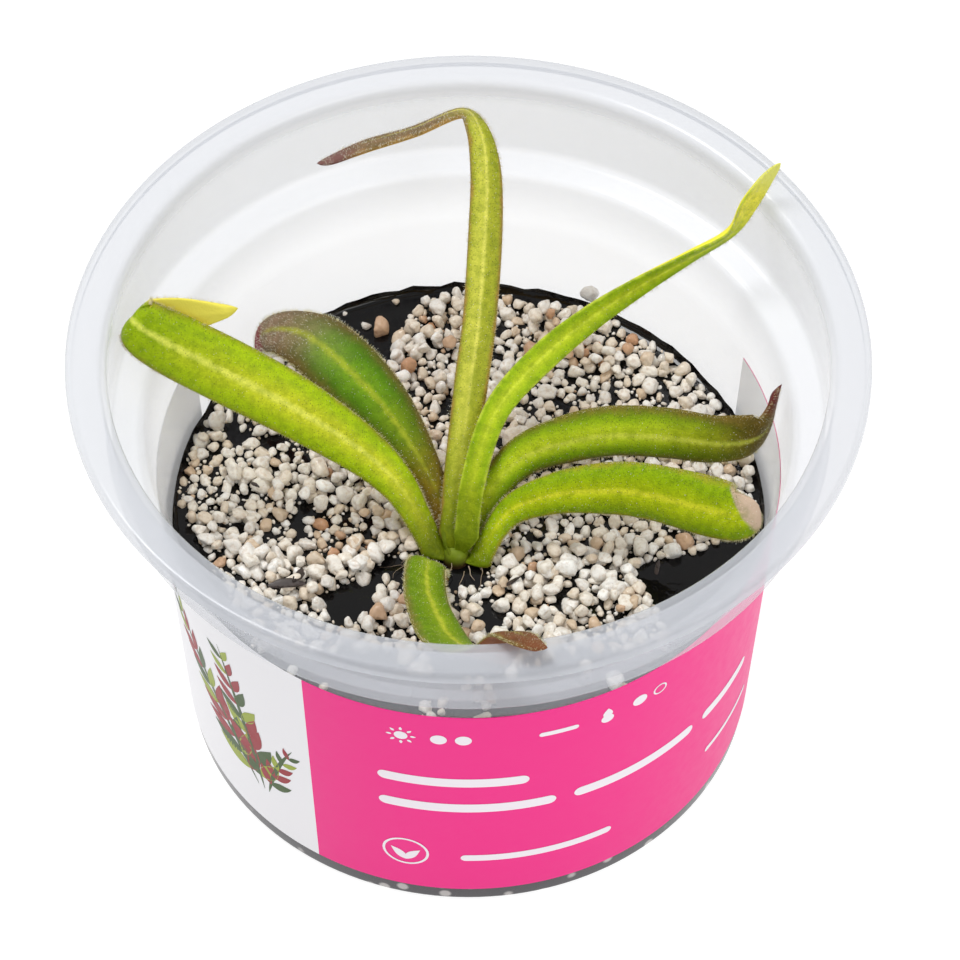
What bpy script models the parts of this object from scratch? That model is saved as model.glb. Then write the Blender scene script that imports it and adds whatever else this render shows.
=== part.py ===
"""A butterwort growing in a small round culture cup.

The cup is thin milky plastic with a flat flange, a tall collar and a gently tapering body.
A printed label goes round the front of the body. Inside is a plug of dark growing gel with
a crust of pale perlite grains on it. The plant stands a little in front of the middle: a
short crown, and seven strap leaves that the wall and the missing lid have bent.

Sizes are in millimetres and are turned to metres as each mesh is made. The axis of the cup
is Z, its bottom is at Z = 0, and the front of the label faces -Y.
"""

import math
import random

import bpy
from mathutils import Matrix, Vector

MM = 0.001

# The cup
FLANGE_R = 50.0
CUP_HEIGHT = 66.9
FLANGE_WIDTH = 4.0
LIP_DROP = 1.8
LIP_ROUND = 0.7
WALL = 0.8
EASED = 0.8
BASE_R = 37.1
BASE_CORNER = 1.2
TAPER = 0.0575
BODY_TOP_Z = 46.0
LEDGE_Z = 53.4
LEDGE_R = 41.7
COLLAR_R = 45.6
CUP_SIDES = 60

# The label, a thin sleeve round the front of the body
LABEL_LOW_Z = 2.4
LABEL_HIGH_Z = 43.9
LABEL_GAP = 0.25
LABEL_THICK = 0.4
LABEL_START = -205.0
LABEL_SWEEP = 230.0

# The growing gel and the grains on it
GEL_TOP_Z = 33.6
GEL_CORNER_Z = 3.0
CLEAR = 0.3
CRUST_THICK = 0.6
CRUST_R = 37.4
CRUST_WAVE = 0.5
BARE_ROUND_CROWN = 4.4
GRAIN_SPACING = 3.7
GRAIN_SCATTER = 0.8
GRAIN_LOW = 1.7
GRAIN_HIGH = 2.7
GRAIN_SEED = 11

# The six grains beside a grain on a three-way grid, as steps in row and column
BESIDE = [(0, 1), (1, 0), (1, -1), (0, -1), (-1, 0), (-1, 1)]

# Where bare gel shows: bays in the crust's edge, as bearing, depth and half width in degrees,
# and patches inside it, as place and radius
CRUST_BAYS = [(112.0, 11.0, 14.0), (-23.0, 12.0, 13.0), (197.0, 8.0, 14.0), (75.0, 3.0, 7.0)]
BARE_PATCHES = [(-15.0, -14.5, 3.0), (-27.0, 11.5, 3.2)]

# The plant
CROWN_X = -1.6
CROWN_Y = -7.3
CROWN_R = 1.8
CROWN_FOOT_Z = 25.0
CROWN_TOP_Z = 36.6
CROWN_SIDES = 14
LEAF_MID_THICK = 1.0
LEAF_EDGE_THICK = 0.62
LEAF_LEAST_HALF = 0.3
STEPS_BETWEEN_ROWS = 3

# Each leaf is a strap along a smooth line. A row gives one place on its midrib, half its
# width there, and how far it is rolled about its own line, in degrees.
LEAVES = {
    "leaf_left": {
        "color": (0.40, 0.52, 0.05),
        "arch": -0.10,
        "rows": [
            (-4.2, -7.2, 35.6, 1.0, 0),
            (-6.3, -4.7, 39.0, 1.7, -6),
            (-9.0, -2.3, 42.9, 2.4, -12),
            (-13.5, -0.3, 47.0, 3.1, -16),
            (-21.3, 1.6, 52.6, 3.9, -20),
            (-29.3, 3.2, 57.4, 4.2, -22),
            (-37.0, 4.9, 61.4, 4.1, -24),
            (-41.0, 6.2, 63.5, 3.6, -26),
            (-42.3, 8.0, 63.6, 3.2, -30),
            (-40.4, 9.7, 62.6, 3.1, -40),
            (-35.1, 9.7, 62.8, 2.6, -50),
            (-28.9, 9.0, 64.0, 0.5, -50),
        ],
    },
    "leaf_left_back": {
        "color": (0.12, 0.25, 0.06),
        "arch": -0.16,
        "rows": [
            (-2.8, -5.0, 36.2, 0.9, 0),
            (-4.0, -1.1, 39.6, 1.5, 0),
            (-7.1, 2.9, 43.6, 2.8, 0),
            (-11.3, 7.8, 46.8, 3.9, 0),
            (-15.8, 12.3, 48.6, 4.4, 0),
            (-20.5, 17.1, 48.8, 4.2, 0),
            (-24.6, 20.3, 46.6, 3.3, -8),
            (-27.3, 21.4, 43.6, 2.3, -25),
            (-27.7, 20.6, 40.8, 0.6, -40),
        ],
    },
    "leaf_back": {
        "color": (0.38, 0.45, 0.07),
        "arch": -0.12,
        "rows": [
            (-2.3, -6.2, 37.5, 0.8, 0),
            (-1.1, 0.1, 42.6, 1.9, 0),
            (0.2, 8.9, 49.0, 2.2, 0),
            (1.3, 15.5, 54.0, 2.2, 0),
            (2.1, 24.1, 60.6, 2.2, 5),
            (2.3, 30.6, 65.8, 2.0, 15),
            (1.4, 35.1, 69.0, 1.7, 40),
            (-1.0, 37.1, 70.2, 1.5, 70),
            (-7.2, 34.7, 69.3, 1.6, 72),
            (-13.5, 33.1, 68.2, 1.6, 68),
            (-19.4, 31.3, 66.3, 0.6, 65),
        ],
    },
    "leaf_right_back": {
        "color": (0.28, 0.45, 0.06),
        "arch": 0.10,
        "rows": [
            (-0.3, -7.0, 37.9, 0.8, 0),
            (0.7, -1.5, 43.2, 1.4, 0),
            (3.6, 5.4, 48.2, 1.7, 3),
            (9.3, 11.4, 51.2, 1.9, 8),
            (15.6, 15.4, 54.4, 1.7, 22),
            (21.7, 18.2, 57.2, 1.5, 45),
            (28.2, 20.6, 60.0, 1.4, 72),
            (33.6, 22.6, 62.6, 1.4, 85),
            (36.0, 23.9, 67.5, 1.6, 70),
            (39.3, 25.4, 73.0, 0.4, 60),
        ],
    },
    "leaf_right": {
        "color": (0.20, 0.30, 0.05),
        "arch": -0.12,
        "rows": [
            (0.8, -6.2, 36.1, 0.9, 0),
            (2.4, -2.1, 39.8, 1.8, 5),
            (6.4, 0.4, 44.1, 2.6, 12),
            (11.8, 0.1, 47.8, 3.3, 18),
            (18.1, -0.6, 50.4, 3.7, 20),
            (25.2, -1.7, 51.2, 3.8, 20),
            (31.1, -2.3, 50.9, 3.6, 20),
            (35.6, -1.7, 50.7, 3.5, 28),
            (38.0, 0.3, 51.2, 2.7, 42),
            (39.6, 4.6, 54.4, 0.4, 60),
        ],
    },
    "leaf_right_front": {
        "color": (0.33, 0.48, 0.04),
        "arch": -0.12,
        "rows": [
            (1.2, -8.7, 35.3, 0.9, 0),
            (3.1, -6.4, 38.2, 1.4, 5),
            (5.8, -4.7, 40.8, 2.0, 10),
            (10.9, -4.9, 43.8, 2.7, 16),
            (16.6, -5.8, 45.7, 3.4, 20),
            (22.2, -7.7, 47.5, 3.8, 20),
            (29.5, -11.8, 49.7, 4.1, 20),
            (33.6, -13.8, 51.1, 3.5, 20),
            (36.1, -12.9, 52.1, 2.0, 20),
        ],
    },
    "leaf_front": {
        "color": (0.25, 0.40, 0.10),
        "arch": -0.10,
        "rows": [
            (-4.2, -9.8, 35.0, 1.5, 0),
            (-4.7, -10.9, 38.2, 2.3, 0),
            (-5.1, -13.0, 40.4, 2.6, 0),
            (-5.2, -17.0, 42.2, 2.8, 0),
            (-4.6, -22.4, 44.9, 3.2, 0),
            (-2.3, -31.0, 49.4, 3.8, 0),
            (0.6, -38.2, 56.2, 3.5, 0),
            (2.8, -41.9, 61.6, 2.9, 0),
            (4.6, -43.0, 66.2, 2.3, 10),
            (6.6, -45.6, 69.1, 2.0, 20),
            (9.3, -47.4, 68.9, 0.6, 25),
        ],
    },
}


def clear_scene():
    for thing in list(bpy.data.objects):
        bpy.data.objects.remove(thing, do_unlink=True)


def finish(name, color, roughness, alpha=1.0):
    material = bpy.data.materials.new(name)
    material.use_nodes = True
    shader = material.node_tree.nodes["Principled BSDF"]
    shader.inputs["Base Color"].default_value = (*color, 1.0)
    shader.inputs["Roughness"].default_value = roughness
    shader.inputs["Metallic"].default_value = 0.0
    shader.inputs["Alpha"].default_value = alpha
    return material


def add_object(name, points, faces, material, smooth_angle=35.0):
    """Makes one object from points in millimetres."""
    mesh = bpy.data.meshes.new(name)
    mesh.from_pydata([Vector(point) * MM for point in points], [], faces)
    mesh.materials.append(material)
    mesh.validate()
    mesh.shade_smooth()
    mesh.set_sharp_from_angle(angle=math.radians(smooth_angle))
    thing = bpy.data.objects.new(name, mesh)
    bpy.context.collection.objects.link(thing)
    return thing


def wall_outside(z):
    """Outer radius of the tapering body at a height."""
    return BASE_R + TAPER * z


def arc(centre_r, centre_z, radius, start, end, count):
    """Points on a rounded corner, from one bearing to another, in degrees."""
    points = []
    for step in range(count):
        angle = math.radians(start + (end - start) * step / (count - 1))
        points.append((centre_r + radius * math.cos(angle), centre_z + radius * math.sin(angle)))
    return points


def turned(outline, sides):
    """Turns an outline about Z. It runs up the outside, and its two ends are on the axis."""
    points = [(0.0, 0.0, outline[0][1])]
    rings = outline[1:-1]
    for radius, z in rings:
        for side in range(sides):
            angle = 2 * math.pi * side / sides
            points.append((radius * math.cos(angle), radius * math.sin(angle), z))
    points.append((0.0, 0.0, outline[-1][1]))
    faces = []
    for side in range(sides):
        beside = (side + 1) % sides
        faces.append((0, 1 + beside, 1 + side))
        for ring in range(len(rings) - 1):
            low = 1 + ring * sides
            high = low + sides
            faces.append((low + side, low + beside, high + beside, high + side))
        last = 1 + (len(rings) - 1) * sides
        faces.append((last + side, last + beside, len(points) - 1))
    return points, faces


def build_cup():
    """Turns the section of the cup: up the outside, over the lip and down the inside."""
    flange_under = CUP_HEIGHT - WALL
    lip_foot = CUP_HEIGHT - LIP_DROP
    lip_inside = FLANGE_R - WALL
    collar_inside = COLLAR_R - WALL
    body_top = wall_outside(BODY_TOP_Z)
    outline = [(0.0, 0.0)]
    outline += arc(BASE_R - BASE_CORNER, BASE_CORNER, BASE_CORNER, -90, 0, 4)
    outline += [(body_top, BODY_TOP_Z), (LEDGE_R, LEDGE_Z - EASED)]
    outline += [(COLLAR_R - EASED, LEDGE_Z), (COLLAR_R, LEDGE_Z + EASED)]
    outline += [(COLLAR_R, flange_under - EASED), (COLLAR_R + EASED, flange_under)]
    outline += [(lip_inside, flange_under), (lip_inside, lip_foot), (FLANGE_R, lip_foot)]
    outline += arc(FLANGE_R - LIP_ROUND, CUP_HEIGHT - LIP_ROUND, LIP_ROUND, 0, 90, 3)
    outline += [(FLANGE_R - FLANGE_WIDTH, CUP_HEIGHT)]
    outline += [(collar_inside + EASED / 2, CUP_HEIGHT - EASED / 2)]
    outline += [(collar_inside, CUP_HEIGHT - 2 * EASED), (collar_inside, LEDGE_Z + 2 * EASED)]
    outline += [(collar_inside - EASED, LEDGE_Z + EASED), (LEDGE_R - EASED, LEDGE_Z)]
    outline += [(body_top - WALL, BODY_TOP_Z)]
    outline += arc(BASE_R - WALL - BASE_CORNER, WALL + BASE_CORNER, BASE_CORNER, 0, -90, 3)
    outline += [(0.0, WALL)]
    points, faces = turned(outline, CUP_SIDES)
    milky = finish("cup_plastic", (0.86, 0.88, 0.90), 0.30, 0.55)
    return add_object("cup", points, faces, milky)


def build_label():
    """A thin band on the cone of the body, open at the back."""
    sides = round(CUP_SIDES * LABEL_SWEEP / 360)
    inner = LABEL_GAP
    outer = LABEL_GAP + LABEL_THICK
    section = [(outer, LABEL_LOW_Z), (outer, LABEL_HIGH_Z), (inner, LABEL_HIGH_Z), (inner, LABEL_LOW_Z)]
    points = []
    for side in range(sides + 1):
        angle = math.radians(LABEL_START + LABEL_SWEEP * side / sides)
        for offset, z in section:
            radius = wall_outside(z) + offset
            points.append((radius * math.cos(angle), radius * math.sin(angle), z))
    faces = [(0, 1, 2, 3)]
    for side in range(sides):
        here = side * 4
        beyond = here + 4
        for corner in range(4):
            after = (corner + 1) % 4
            faces.append((here + corner, beyond + corner, beyond + after, here + after))
    faces.append(tuple(sides * 4 + corner for corner in (3, 2, 1, 0)))
    return add_object("label", points, faces, finish("label_film", (0.84, 0.06, 0.36), 0.35))


def build_gel():
    """The dark gel fills the body, with a plain round hole for the crown."""
    floor = WALL + CLEAR
    low_r = BASE_R - WALL - BASE_CORNER
    outline = [(0.0, floor), (low_r, floor)]
    outline += [(wall_outside(GEL_CORNER_Z) - WALL - CLEAR, GEL_CORNER_Z)]
    outline += [(wall_outside(GEL_TOP_Z) - WALL - CLEAR, GEL_TOP_Z), (0.0, GEL_TOP_Z)]
    points, faces = turned(outline, CUP_SIDES)
    gel = add_object("growing_gel", points, faces, finish("dark_gel", (0.012, 0.012, 0.014), 0.08))
    hole_r = CROWN_R + CLEAR
    foot = CROWN_FOOT_Z - CLEAR
    above = GEL_TOP_Z + hole_r
    hole = [(0.0, foot), (hole_r, foot), (hole_r, above), (0.0, above)]
    points, faces = turned(hole, CROWN_SIDES)
    cutter = add_object("crown_hole", points, faces, gel.data.materials[0])
    cutter.location = (CROWN_X * MM, CROWN_Y * MM, 0.0)
    cutter.hide_render = True
    cutter.display_type = "WIRE"
    hole = gel.modifiers.new("hole", "BOOLEAN")
    hole.object = cutter
    return gel


def crust_edge(angle):
    """Radius of the crust's wavy outer edge at a bearing in radians."""
    radius = CRUST_R + CRUST_WAVE * (math.sin(7 * angle) + 0.7 * math.sin(13 * angle + 1))
    for bearing, depth, half_width in CRUST_BAYS:
        away = math.degrees(angle) - bearing
        away = (away + 180.0) % 360.0 - 180.0
        radius -= depth * math.exp(-((away / half_width) ** 2))
    return radius


def grain_spot(cell):
    """A grain's place on the grid, moved a little at random."""
    row, column = cell
    draw = random.Random(GRAIN_SEED + 1000 * row + column)
    x = (column + row / 2) * GRAIN_SPACING + draw.uniform(-GRAIN_SCATTER, GRAIN_SCATTER)
    y = row * math.sqrt(0.75) * GRAIN_SPACING + draw.uniform(-GRAIN_SCATTER, GRAIN_SCATTER)
    return Vector((x, y))


def grain_cells():
    """The grid's cells that hold a grain: inside the edge, clear of the crown and patches."""
    bare = [(CROWN_X, CROWN_Y, BARE_ROUND_CROWN)] + BARE_PATCHES
    reach = round(2 * CRUST_R / GRAIN_SPACING)
    cells = set()
    for row in range(-reach, reach + 1):
        for column in range(-reach, reach + 1):
            spot = grain_spot((row, column))
            edge = crust_edge(math.atan2(spot.y, spot.x))
            if spot.length > edge - GRAIN_SPACING / 2:
                continue
            if all((spot - Vector((x, y))).length > r + GRAIN_SPACING / 2 for x, y, r in bare):
                cells.add((row, column))
    return sorted(cells)


def build_perlite():
    """Faceted grains side by side in one crust. A valley runs between each two of them."""
    foot = GEL_TOP_Z + CLEAR
    valley = foot + CRUST_THICK
    limit = wall_outside(foot) - WALL - 2 * CLEAR
    cells = grain_cells()
    draw = random.Random(GRAIN_SEED)
    points = []
    faces = []
    corners = {}
    for cell in cells:
        beside = [(cell[0] + row, cell[1] + column) for row, column in BESIDE]
        ring = []
        for side in range(6):
            trio = tuple(sorted((cell, beside[side], beside[(side + 1) % 6])))
            if trio not in corners:
                spot = (grain_spot(trio[0]) + grain_spot(trio[1]) + grain_spot(trio[2])) / 3
                spot *= min(1.0, limit / spot.length)
                corners[trio] = len(points)
                points += [(spot.x, spot.y, valley), (spot.x, spot.y, foot)]
            ring.append(corners[trio])
        middle = grain_spot(cell)
        high = draw.uniform(GRAIN_LOW, GRAIN_HIGH)
        shoulder = len(points)
        for corner in ring:
            spot = middle.lerp(Vector(points[corner][:2]), draw.uniform(0.6, 0.85))
            points.append((spot.x, spot.y, foot + high * draw.uniform(0.6, 0.85)))
        top = len(points)
        points.append((middle.x, middle.y, foot + high))
        for side in range(6):
            after = (side + 1) % 6
            here, beyond = ring[side], ring[after]
            faces.append((here, beyond, shoulder + after))
            faces.append((here, shoulder + after, shoulder + side))
            faces.append((shoulder + side, shoulder + after, top))
            if beside[after] not in cells:
                faces.append((here + 1, beyond + 1, beyond, here))
        faces.append(tuple(corner + 1 for corner in reversed(ring)))
    material = finish("perlite_stone", (0.72, 0.66, 0.58), 0.85)
    return add_object("perlite", points, faces, material, 20.0)


def build_crown():
    """The short stem that carries the leaves, rounded off among their feet."""
    outline = [(0.0, CROWN_FOOT_Z), (CROWN_R * 0.7, CROWN_FOOT_Z), (CROWN_R, CROWN_FOOT_Z + 1.5)]
    outline += [(CROWN_R, GEL_TOP_Z + 1.2), (CROWN_R * 0.85, GEL_TOP_Z + 2.0)]
    outline += [(CROWN_R * 0.5, CROWN_TOP_Z - 0.2)]
    outline += [(0.0, CROWN_TOP_Z)]
    points, faces = turned(outline, CROWN_SIDES)
    points = [(x + CROWN_X, y + CROWN_Y, z) for x, y, z in points]
    return add_object("crown", points, faces, finish("crown_green", (0.25, 0.33, 0.08), 0.45))


def smooth_row(rows, place):
    """Reads a smooth curve through the rows. One whole step leads from row to row."""
    start = min(int(place), len(rows) - 2)
    t = place - start
    before = rows[max(start - 1, 0)]
    after = rows[min(start + 2, len(rows) - 1)]
    mixed = []
    for a, b, c, d in zip(before, rows[start], rows[start + 1], after):
        mixed.append(0.5 * (2 * b + (c - a) * t + (2 * a - 5 * b + 4 * c - d) * t * t
                            + (3 * b - a - 3 * c + d) * t * t * t))
    return mixed


def leaf_frames(rows):
    """Midrib points, half widths and the directions across and out of the upper face."""
    count = (len(rows) - 1) * STEPS_BETWEEN_ROWS + 1
    stations = [smooth_row(rows, step / STEPS_BETWEEN_ROWS) for step in range(count)]
    spots = [Vector(station[:3]) for station in stations]
    frames = []
    across = None
    for index, station in enumerate(stations):
        ahead = spots[min(index + 1, count - 1)]
        behind = spots[max(index - 1, 0)]
        along = (ahead - behind).normalized()
        if across is None:
            across = along.cross(Vector((0, 0, 1)))
        across = (across - along * across.dot(along)).normalized()
        rolled = Matrix.Rotation(math.radians(station[4]), 3, along) @ across
        half = max(station[3], LEAF_LEAST_HALF)
        frames.append((spots[index], half, rolled, rolled.cross(along)))
    return frames


def build_leaf(name, leaf):
    """Sweeps an arched strap, thick at the midrib and thin at the margins."""
    spread = (-1.0, -0.55, 0.0, 0.55, 1.0)
    points = []
    faces = []
    frames = leaf_frames(leaf["rows"])
    for spot, half, across, outward in frames:
        ring = []
        for side in spread:
            rise = leaf["arch"] * half * side * side
            ring.append((side, rise))
        for side in reversed(spread):
            thick = LEAF_EDGE_THICK + (LEAF_MID_THICK - LEAF_EDGE_THICK) * (1 - side * side)
            ring.append((side, leaf["arch"] * half * side * side - thick))
        for side, rise in ring:
            points.append(spot + across * (side * half) + outward * rise)
    size = 2 * len(spread)
    for station in range(len(frames) - 1):
        here = station * size
        beyond = here + size
        for corner in range(size):
            after = (corner + 1) % size
            a, b, c, d = here + corner, here + after, beyond + after, beyond + corner
            upper_half = corner < len(spread) - 1
            if upper_half or corner == size - 1:
                faces += [(a, b, c), (a, c, d)]
            else:
                faces += [(a, b, d), (b, c, d)]
    last = (len(frames) - 1) * size
    for corner in range(len(spread) - 1):
        low = size - 1 - corner
        faces.append((corner, low, low - 1, corner + 1))
        faces.append((last + corner, last + corner + 1, last + low - 1, last + low))
    return add_object(name, points, faces, finish(name + "_green", leaf["color"], 0.4), 60.0)


def build_all():
    clear_scene()
    build_cup()
    build_label()
    build_gel()
    build_perlite()
    build_crown()
    for name, leaf in LEAVES.items():
        build_leaf(name, leaf)


build_all()
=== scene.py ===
# %% [markdown]
# A butterwort in its culture cup.
# The solids come in as a fixed frame, in metres. Every cell below dresses one part of it: the
# milky cup, the printed label, the black gel, the perlite, the crown and the seven leaves.
# Each new piece rides on the body called root and stands where its solid stands.

# %% Load the frame
import math
import random
from functools import partial

import bpy
import numpy as np
from mathutils import Euler, Matrix, Vector, noise


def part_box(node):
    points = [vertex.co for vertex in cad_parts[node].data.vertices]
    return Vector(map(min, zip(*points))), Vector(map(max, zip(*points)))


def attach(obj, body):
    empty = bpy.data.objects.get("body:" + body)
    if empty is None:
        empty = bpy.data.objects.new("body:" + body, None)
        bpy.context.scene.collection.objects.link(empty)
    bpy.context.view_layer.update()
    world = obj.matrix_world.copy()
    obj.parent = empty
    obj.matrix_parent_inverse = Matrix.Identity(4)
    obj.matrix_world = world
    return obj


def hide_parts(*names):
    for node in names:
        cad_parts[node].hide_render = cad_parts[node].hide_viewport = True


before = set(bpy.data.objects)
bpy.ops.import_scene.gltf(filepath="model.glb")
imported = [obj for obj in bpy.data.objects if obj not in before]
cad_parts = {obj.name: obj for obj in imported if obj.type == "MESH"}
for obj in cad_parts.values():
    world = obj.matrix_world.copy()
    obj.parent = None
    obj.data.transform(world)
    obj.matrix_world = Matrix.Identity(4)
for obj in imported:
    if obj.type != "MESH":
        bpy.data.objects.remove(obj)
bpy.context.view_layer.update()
print("nodes:", ", ".join(sorted(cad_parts)))

# %% [markdown]
# Most sizes of this plant are a few millimetres, so lengths below are written in millimetres
# and turned to metres only when a mesh is made. The driving sizes are read from the frame.

# %% Read the driving sizes from the frame
MM = 0.001


def node_box(name):
    """A solid's lowest and highest corner in millimetres."""
    low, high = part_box(name)
    return low / MM, high / MM


def cone_of(name):
    """Radius at height zero and taper of a tapering wall, from its lowest and highest rings."""
    points = np.array([v.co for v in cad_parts[name].data.vertices]) / MM
    reach = np.hypot(points[:, 0], points[:, 1])
    low_z, high_z = points[:, 2].min(), points[:, 2].max()
    low_r = reach[points[:, 2] < low_z + 0.1].max()
    high_r = reach[points[:, 2] > high_z - 0.1].max()
    taper = (high_r - low_r) / (high_z - low_z)
    return low_r - taper * low_z, taper


RIM_R = node_box("cup")[1].x
RIM_Z = node_box("cup")[1].z
LABEL_LOW, LABEL_HIGH = node_box("label")[0].z, node_box("label")[1].z
GEL_TOP = node_box("growing_gel")[1].z
label_r, TAPER = cone_of("label")
LABEL_OFF = 0.65  # the solid film's face off the cup
BODY_R = label_r - LABEL_OFF
crown_low, crown_high = node_box("crown")
CROWN = (crown_low + crown_high) / 2
print(f"rim {RIM_R:.1f} at {RIM_Z:.1f}, gel top {GEL_TOP:.1f}, body {BODY_R:.2f} + {TAPER:.4f} z")

# %% [markdown]
# A mesh is only points and faces, so one helper can turn any list of them into a piece that
# rides on the root body, takes the finishes it is given and hides the solid it stands for.

# %% Make a piece from points and faces


def make_piece(name, points, faces, materials, slot, replaced=(), smooth=60.0):
    """Turns points in millimetres and faces into a piece of the object."""
    mesh = bpy.data.meshes.new(name)
    mesh.from_pydata((np.array(points, dtype=float) * MM).tolist(), [], faces)
    for material in materials:
        mesh.materials.append(material)
    mesh.validate()
    mesh.shade_smooth()
    if smooth < 180:
        mesh.set_sharp_from_angle(angle=math.radians(smooth))
    piece = bpy.data.objects.new(name, mesh)
    bpy.context.scene.collection.objects.link(piece)
    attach(piece, "root")
    if replaced:
        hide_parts(*replaced)
    print(f"{name}: {len(mesh.vertices)} points, {len(mesh.polygons)} faces")
    return piece


def joined(shapes):
    """Joins many small meshes, each its points and faces, in one."""
    points, faces = [], []
    for shape_points, shape_faces in shapes:
        first = len(points)
        points += list(shape_points)
        faces += [tuple(first + corner for corner in face) for face in shape_faces]
    return points, faces


# %% [markdown]
# Materials are trees of nodes. Short helpers keep them readable: they place a node, mix two
# colours, map a value smoothly from one range to another, or give a noise, cells or a bump
# whose size is in millimetres. Noise lies in object space, so nothing needs unwrapping.

# %% Helpers for shader nodes


def srgb(red, green, blue):
    """A screen colour, 0 to 255, as the linear colour that shaders use."""
    linear = []
    for part in (red, green, blue):
        part /= 255
        linear.append(part / 12.92 if part <= 0.04045 else ((part + 0.055) / 1.055) ** 2.4)
    return (*linear, 1.0)


def feed(tree, node, inputs):
    """Sets or links a node's sockets. An input is a plain value or the socket that feeds it."""
    for name, value in inputs.items():
        if isinstance(value, bpy.types.NodeSocket):
            tree.links.new(value, node.inputs[name])
        else:
            node.inputs[name].default_value = value


def place(tree, kind, inputs=None, **fields):
    """Places one shader node with its own settings and feeds it."""
    made = tree.nodes.new("ShaderNode" + kind)
    for name, value in fields.items():
        setattr(made, name, value)
    feed(tree, made, inputs or {})
    return made


def sums(tree, operation, *values):
    """One step of arithmetic on numbers that change over the surface."""
    return place(tree, "Math", dict(enumerate(values)), operation=operation).outputs[0]


def mixed(tree, share, first, second, how="MIX"):
    """Mixes two colours by a share from 0 to 1."""
    made = place(tree, "Mix", {0: share, 6: first, 7: second}, data_type="RGBA", blend_type=how)
    return made.outputs[2]


def ramped(tree, value, low, high, low_to=0.0, high_to=1.0):
    """Maps a value smoothly from one range to another and holds it at the ends."""
    inputs = {0: value, 1: low, 2: high, 3: low_to, 4: high_to}
    made = place(tree, "MapRange", inputs, interpolation_type="SMOOTHSTEP")
    return made.outputs[0]


def object_space(tree):
    """Each point's own place."""
    return place(tree, "TexCoord").outputs["Object"]


def height_in(tree):
    """Each point's height, in metres."""
    return place(tree, "SeparateXYZ", {"Vector": object_space(tree)}).outputs["Z"]


def noise_of(tree, size, detail=2.0):
    """Soft noise with blots of a size in millimetres."""
    inputs = {"Vector": object_space(tree), "Scale": 1 / (size * MM), "Detail": detail}
    return place(tree, "TexNoise", inputs).outputs[0]


def cells_of(tree, size, randomness=1.0):
    """Round cells of a size in millimetres."""
    inputs = {"Vector": object_space(tree), "Scale": 1 / (size * MM), "Randomness": randomness}
    return place(tree, "TexVoronoi", inputs).outputs


def bumped(tree, height, strength, depth):
    """The bump that a height makes, with its depth in millimetres."""
    inputs = {"Strength": strength, "Distance": depth * MM, "Height": height}
    return place(tree, "Bump", inputs).outputs[0]


def new_material(name):
    """A material with its Principled shader, ready to be fed."""
    material = bpy.data.materials.new(name)
    material.use_nodes = True
    return material, material.node_tree, material.node_tree.nodes["Principled BSDF"]


def new_group(name, inputs, outputs):
    """An empty shader group with named sockets. Returns the tree, its inputs and its outputs."""
    tree = bpy.data.node_groups.new(name, "ShaderNodeTree")
    for label, kind, value in inputs:
        socket = tree.interface.new_socket(label, in_out="INPUT", socket_type="NodeSocket" + kind)
        socket.default_value = value
    for label, kind in outputs:
        tree.interface.new_socket(label, in_out="OUTPUT", socket_type="NodeSocket" + kind)
    return tree, tree.nodes.new("NodeGroupInput"), tree.nodes.new("NodeGroupOutput")


def use_group(tree, group, inputs):
    """Places a shader group in a material with this material's own values."""
    made = tree.nodes.new("ShaderNodeGroup")
    made.node_tree = group
    feed(tree, made, inputs)
    return made


# %% [markdown]
# Plastic, gel, film and grains all have a fine unevenness that breaks up their gloss. It is
# one shader group, so that it stays the same size on every piece. It gives a mask, for
# roughness and tint, and a height, for the bump.

# %% A shared group for fine unevenness
uneven_group, given, gives = new_group(
    "fine_unevenness",
    [("Size", "Float", 1.0), ("Contrast", "Float", 0.5)],
    [("Mask", "Float"), ("Height", "Float")])
scale = sums(uneven_group, "DIVIDE", 1 / MM, given.outputs["Size"])
coarse = place(uneven_group, "TexNoise", {"Vector": object_space(uneven_group), "Scale": scale,
                                          "Detail": 4.0}).outputs[0]
spread = sums(uneven_group, "MULTIPLY", sums(uneven_group, "SUBTRACT", coarse, 0.5),
              given.outputs["Contrast"])
feed(uneven_group, gives, {"Mask": sums(uneven_group, "ADD", spread, 0.5), "Height": coarse})
print("group", uneven_group.name)


def uneven_on(tree, size, contrast):
    """Places the group in a material and returns its mask and its height."""
    made = use_group(tree, uneven_group, {"Size": size, "Contrast": contrast})
    return made.outputs["Mask"], made.outputs["Height"]


def gloss(tree, mask, smoothest, roughest):
    """Roughness that follows the mask."""
    return ramped(tree, mask, 0.3, 0.7, smoothest, roughest)


# %% [markdown]
# The cup is thin pressed polypropylene, milky rather than clear: what touches the wall shows
# through it, and what lies farther off is lost in the haze. Real scattering would be slow and
# noisy, so the wall is part see-through paint. It is clearer low down, where gel lies against
# it, and denser at the collar and flange, which are thicker, and wherever it is seen edge on.
# The foot has a finish of its own, since gel and grains lie right on the plastic there and
# show through it dark and clear.

# %% Milky plastic
HAZE_Z, HAZE = (46.0 * MM, 53.0 * MM), (0.13, 0.25)
FLANGE_Z, FLANGE_HAZE = (62.5 * MM, 65.5 * MM), 0.14
EDGE_HAZE, SHADOW_CLEARED = 0.18, 0.75
PLASTIC_GLOSS, PLASTIC_IOR = (0.16, 0.24), 1.49

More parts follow.
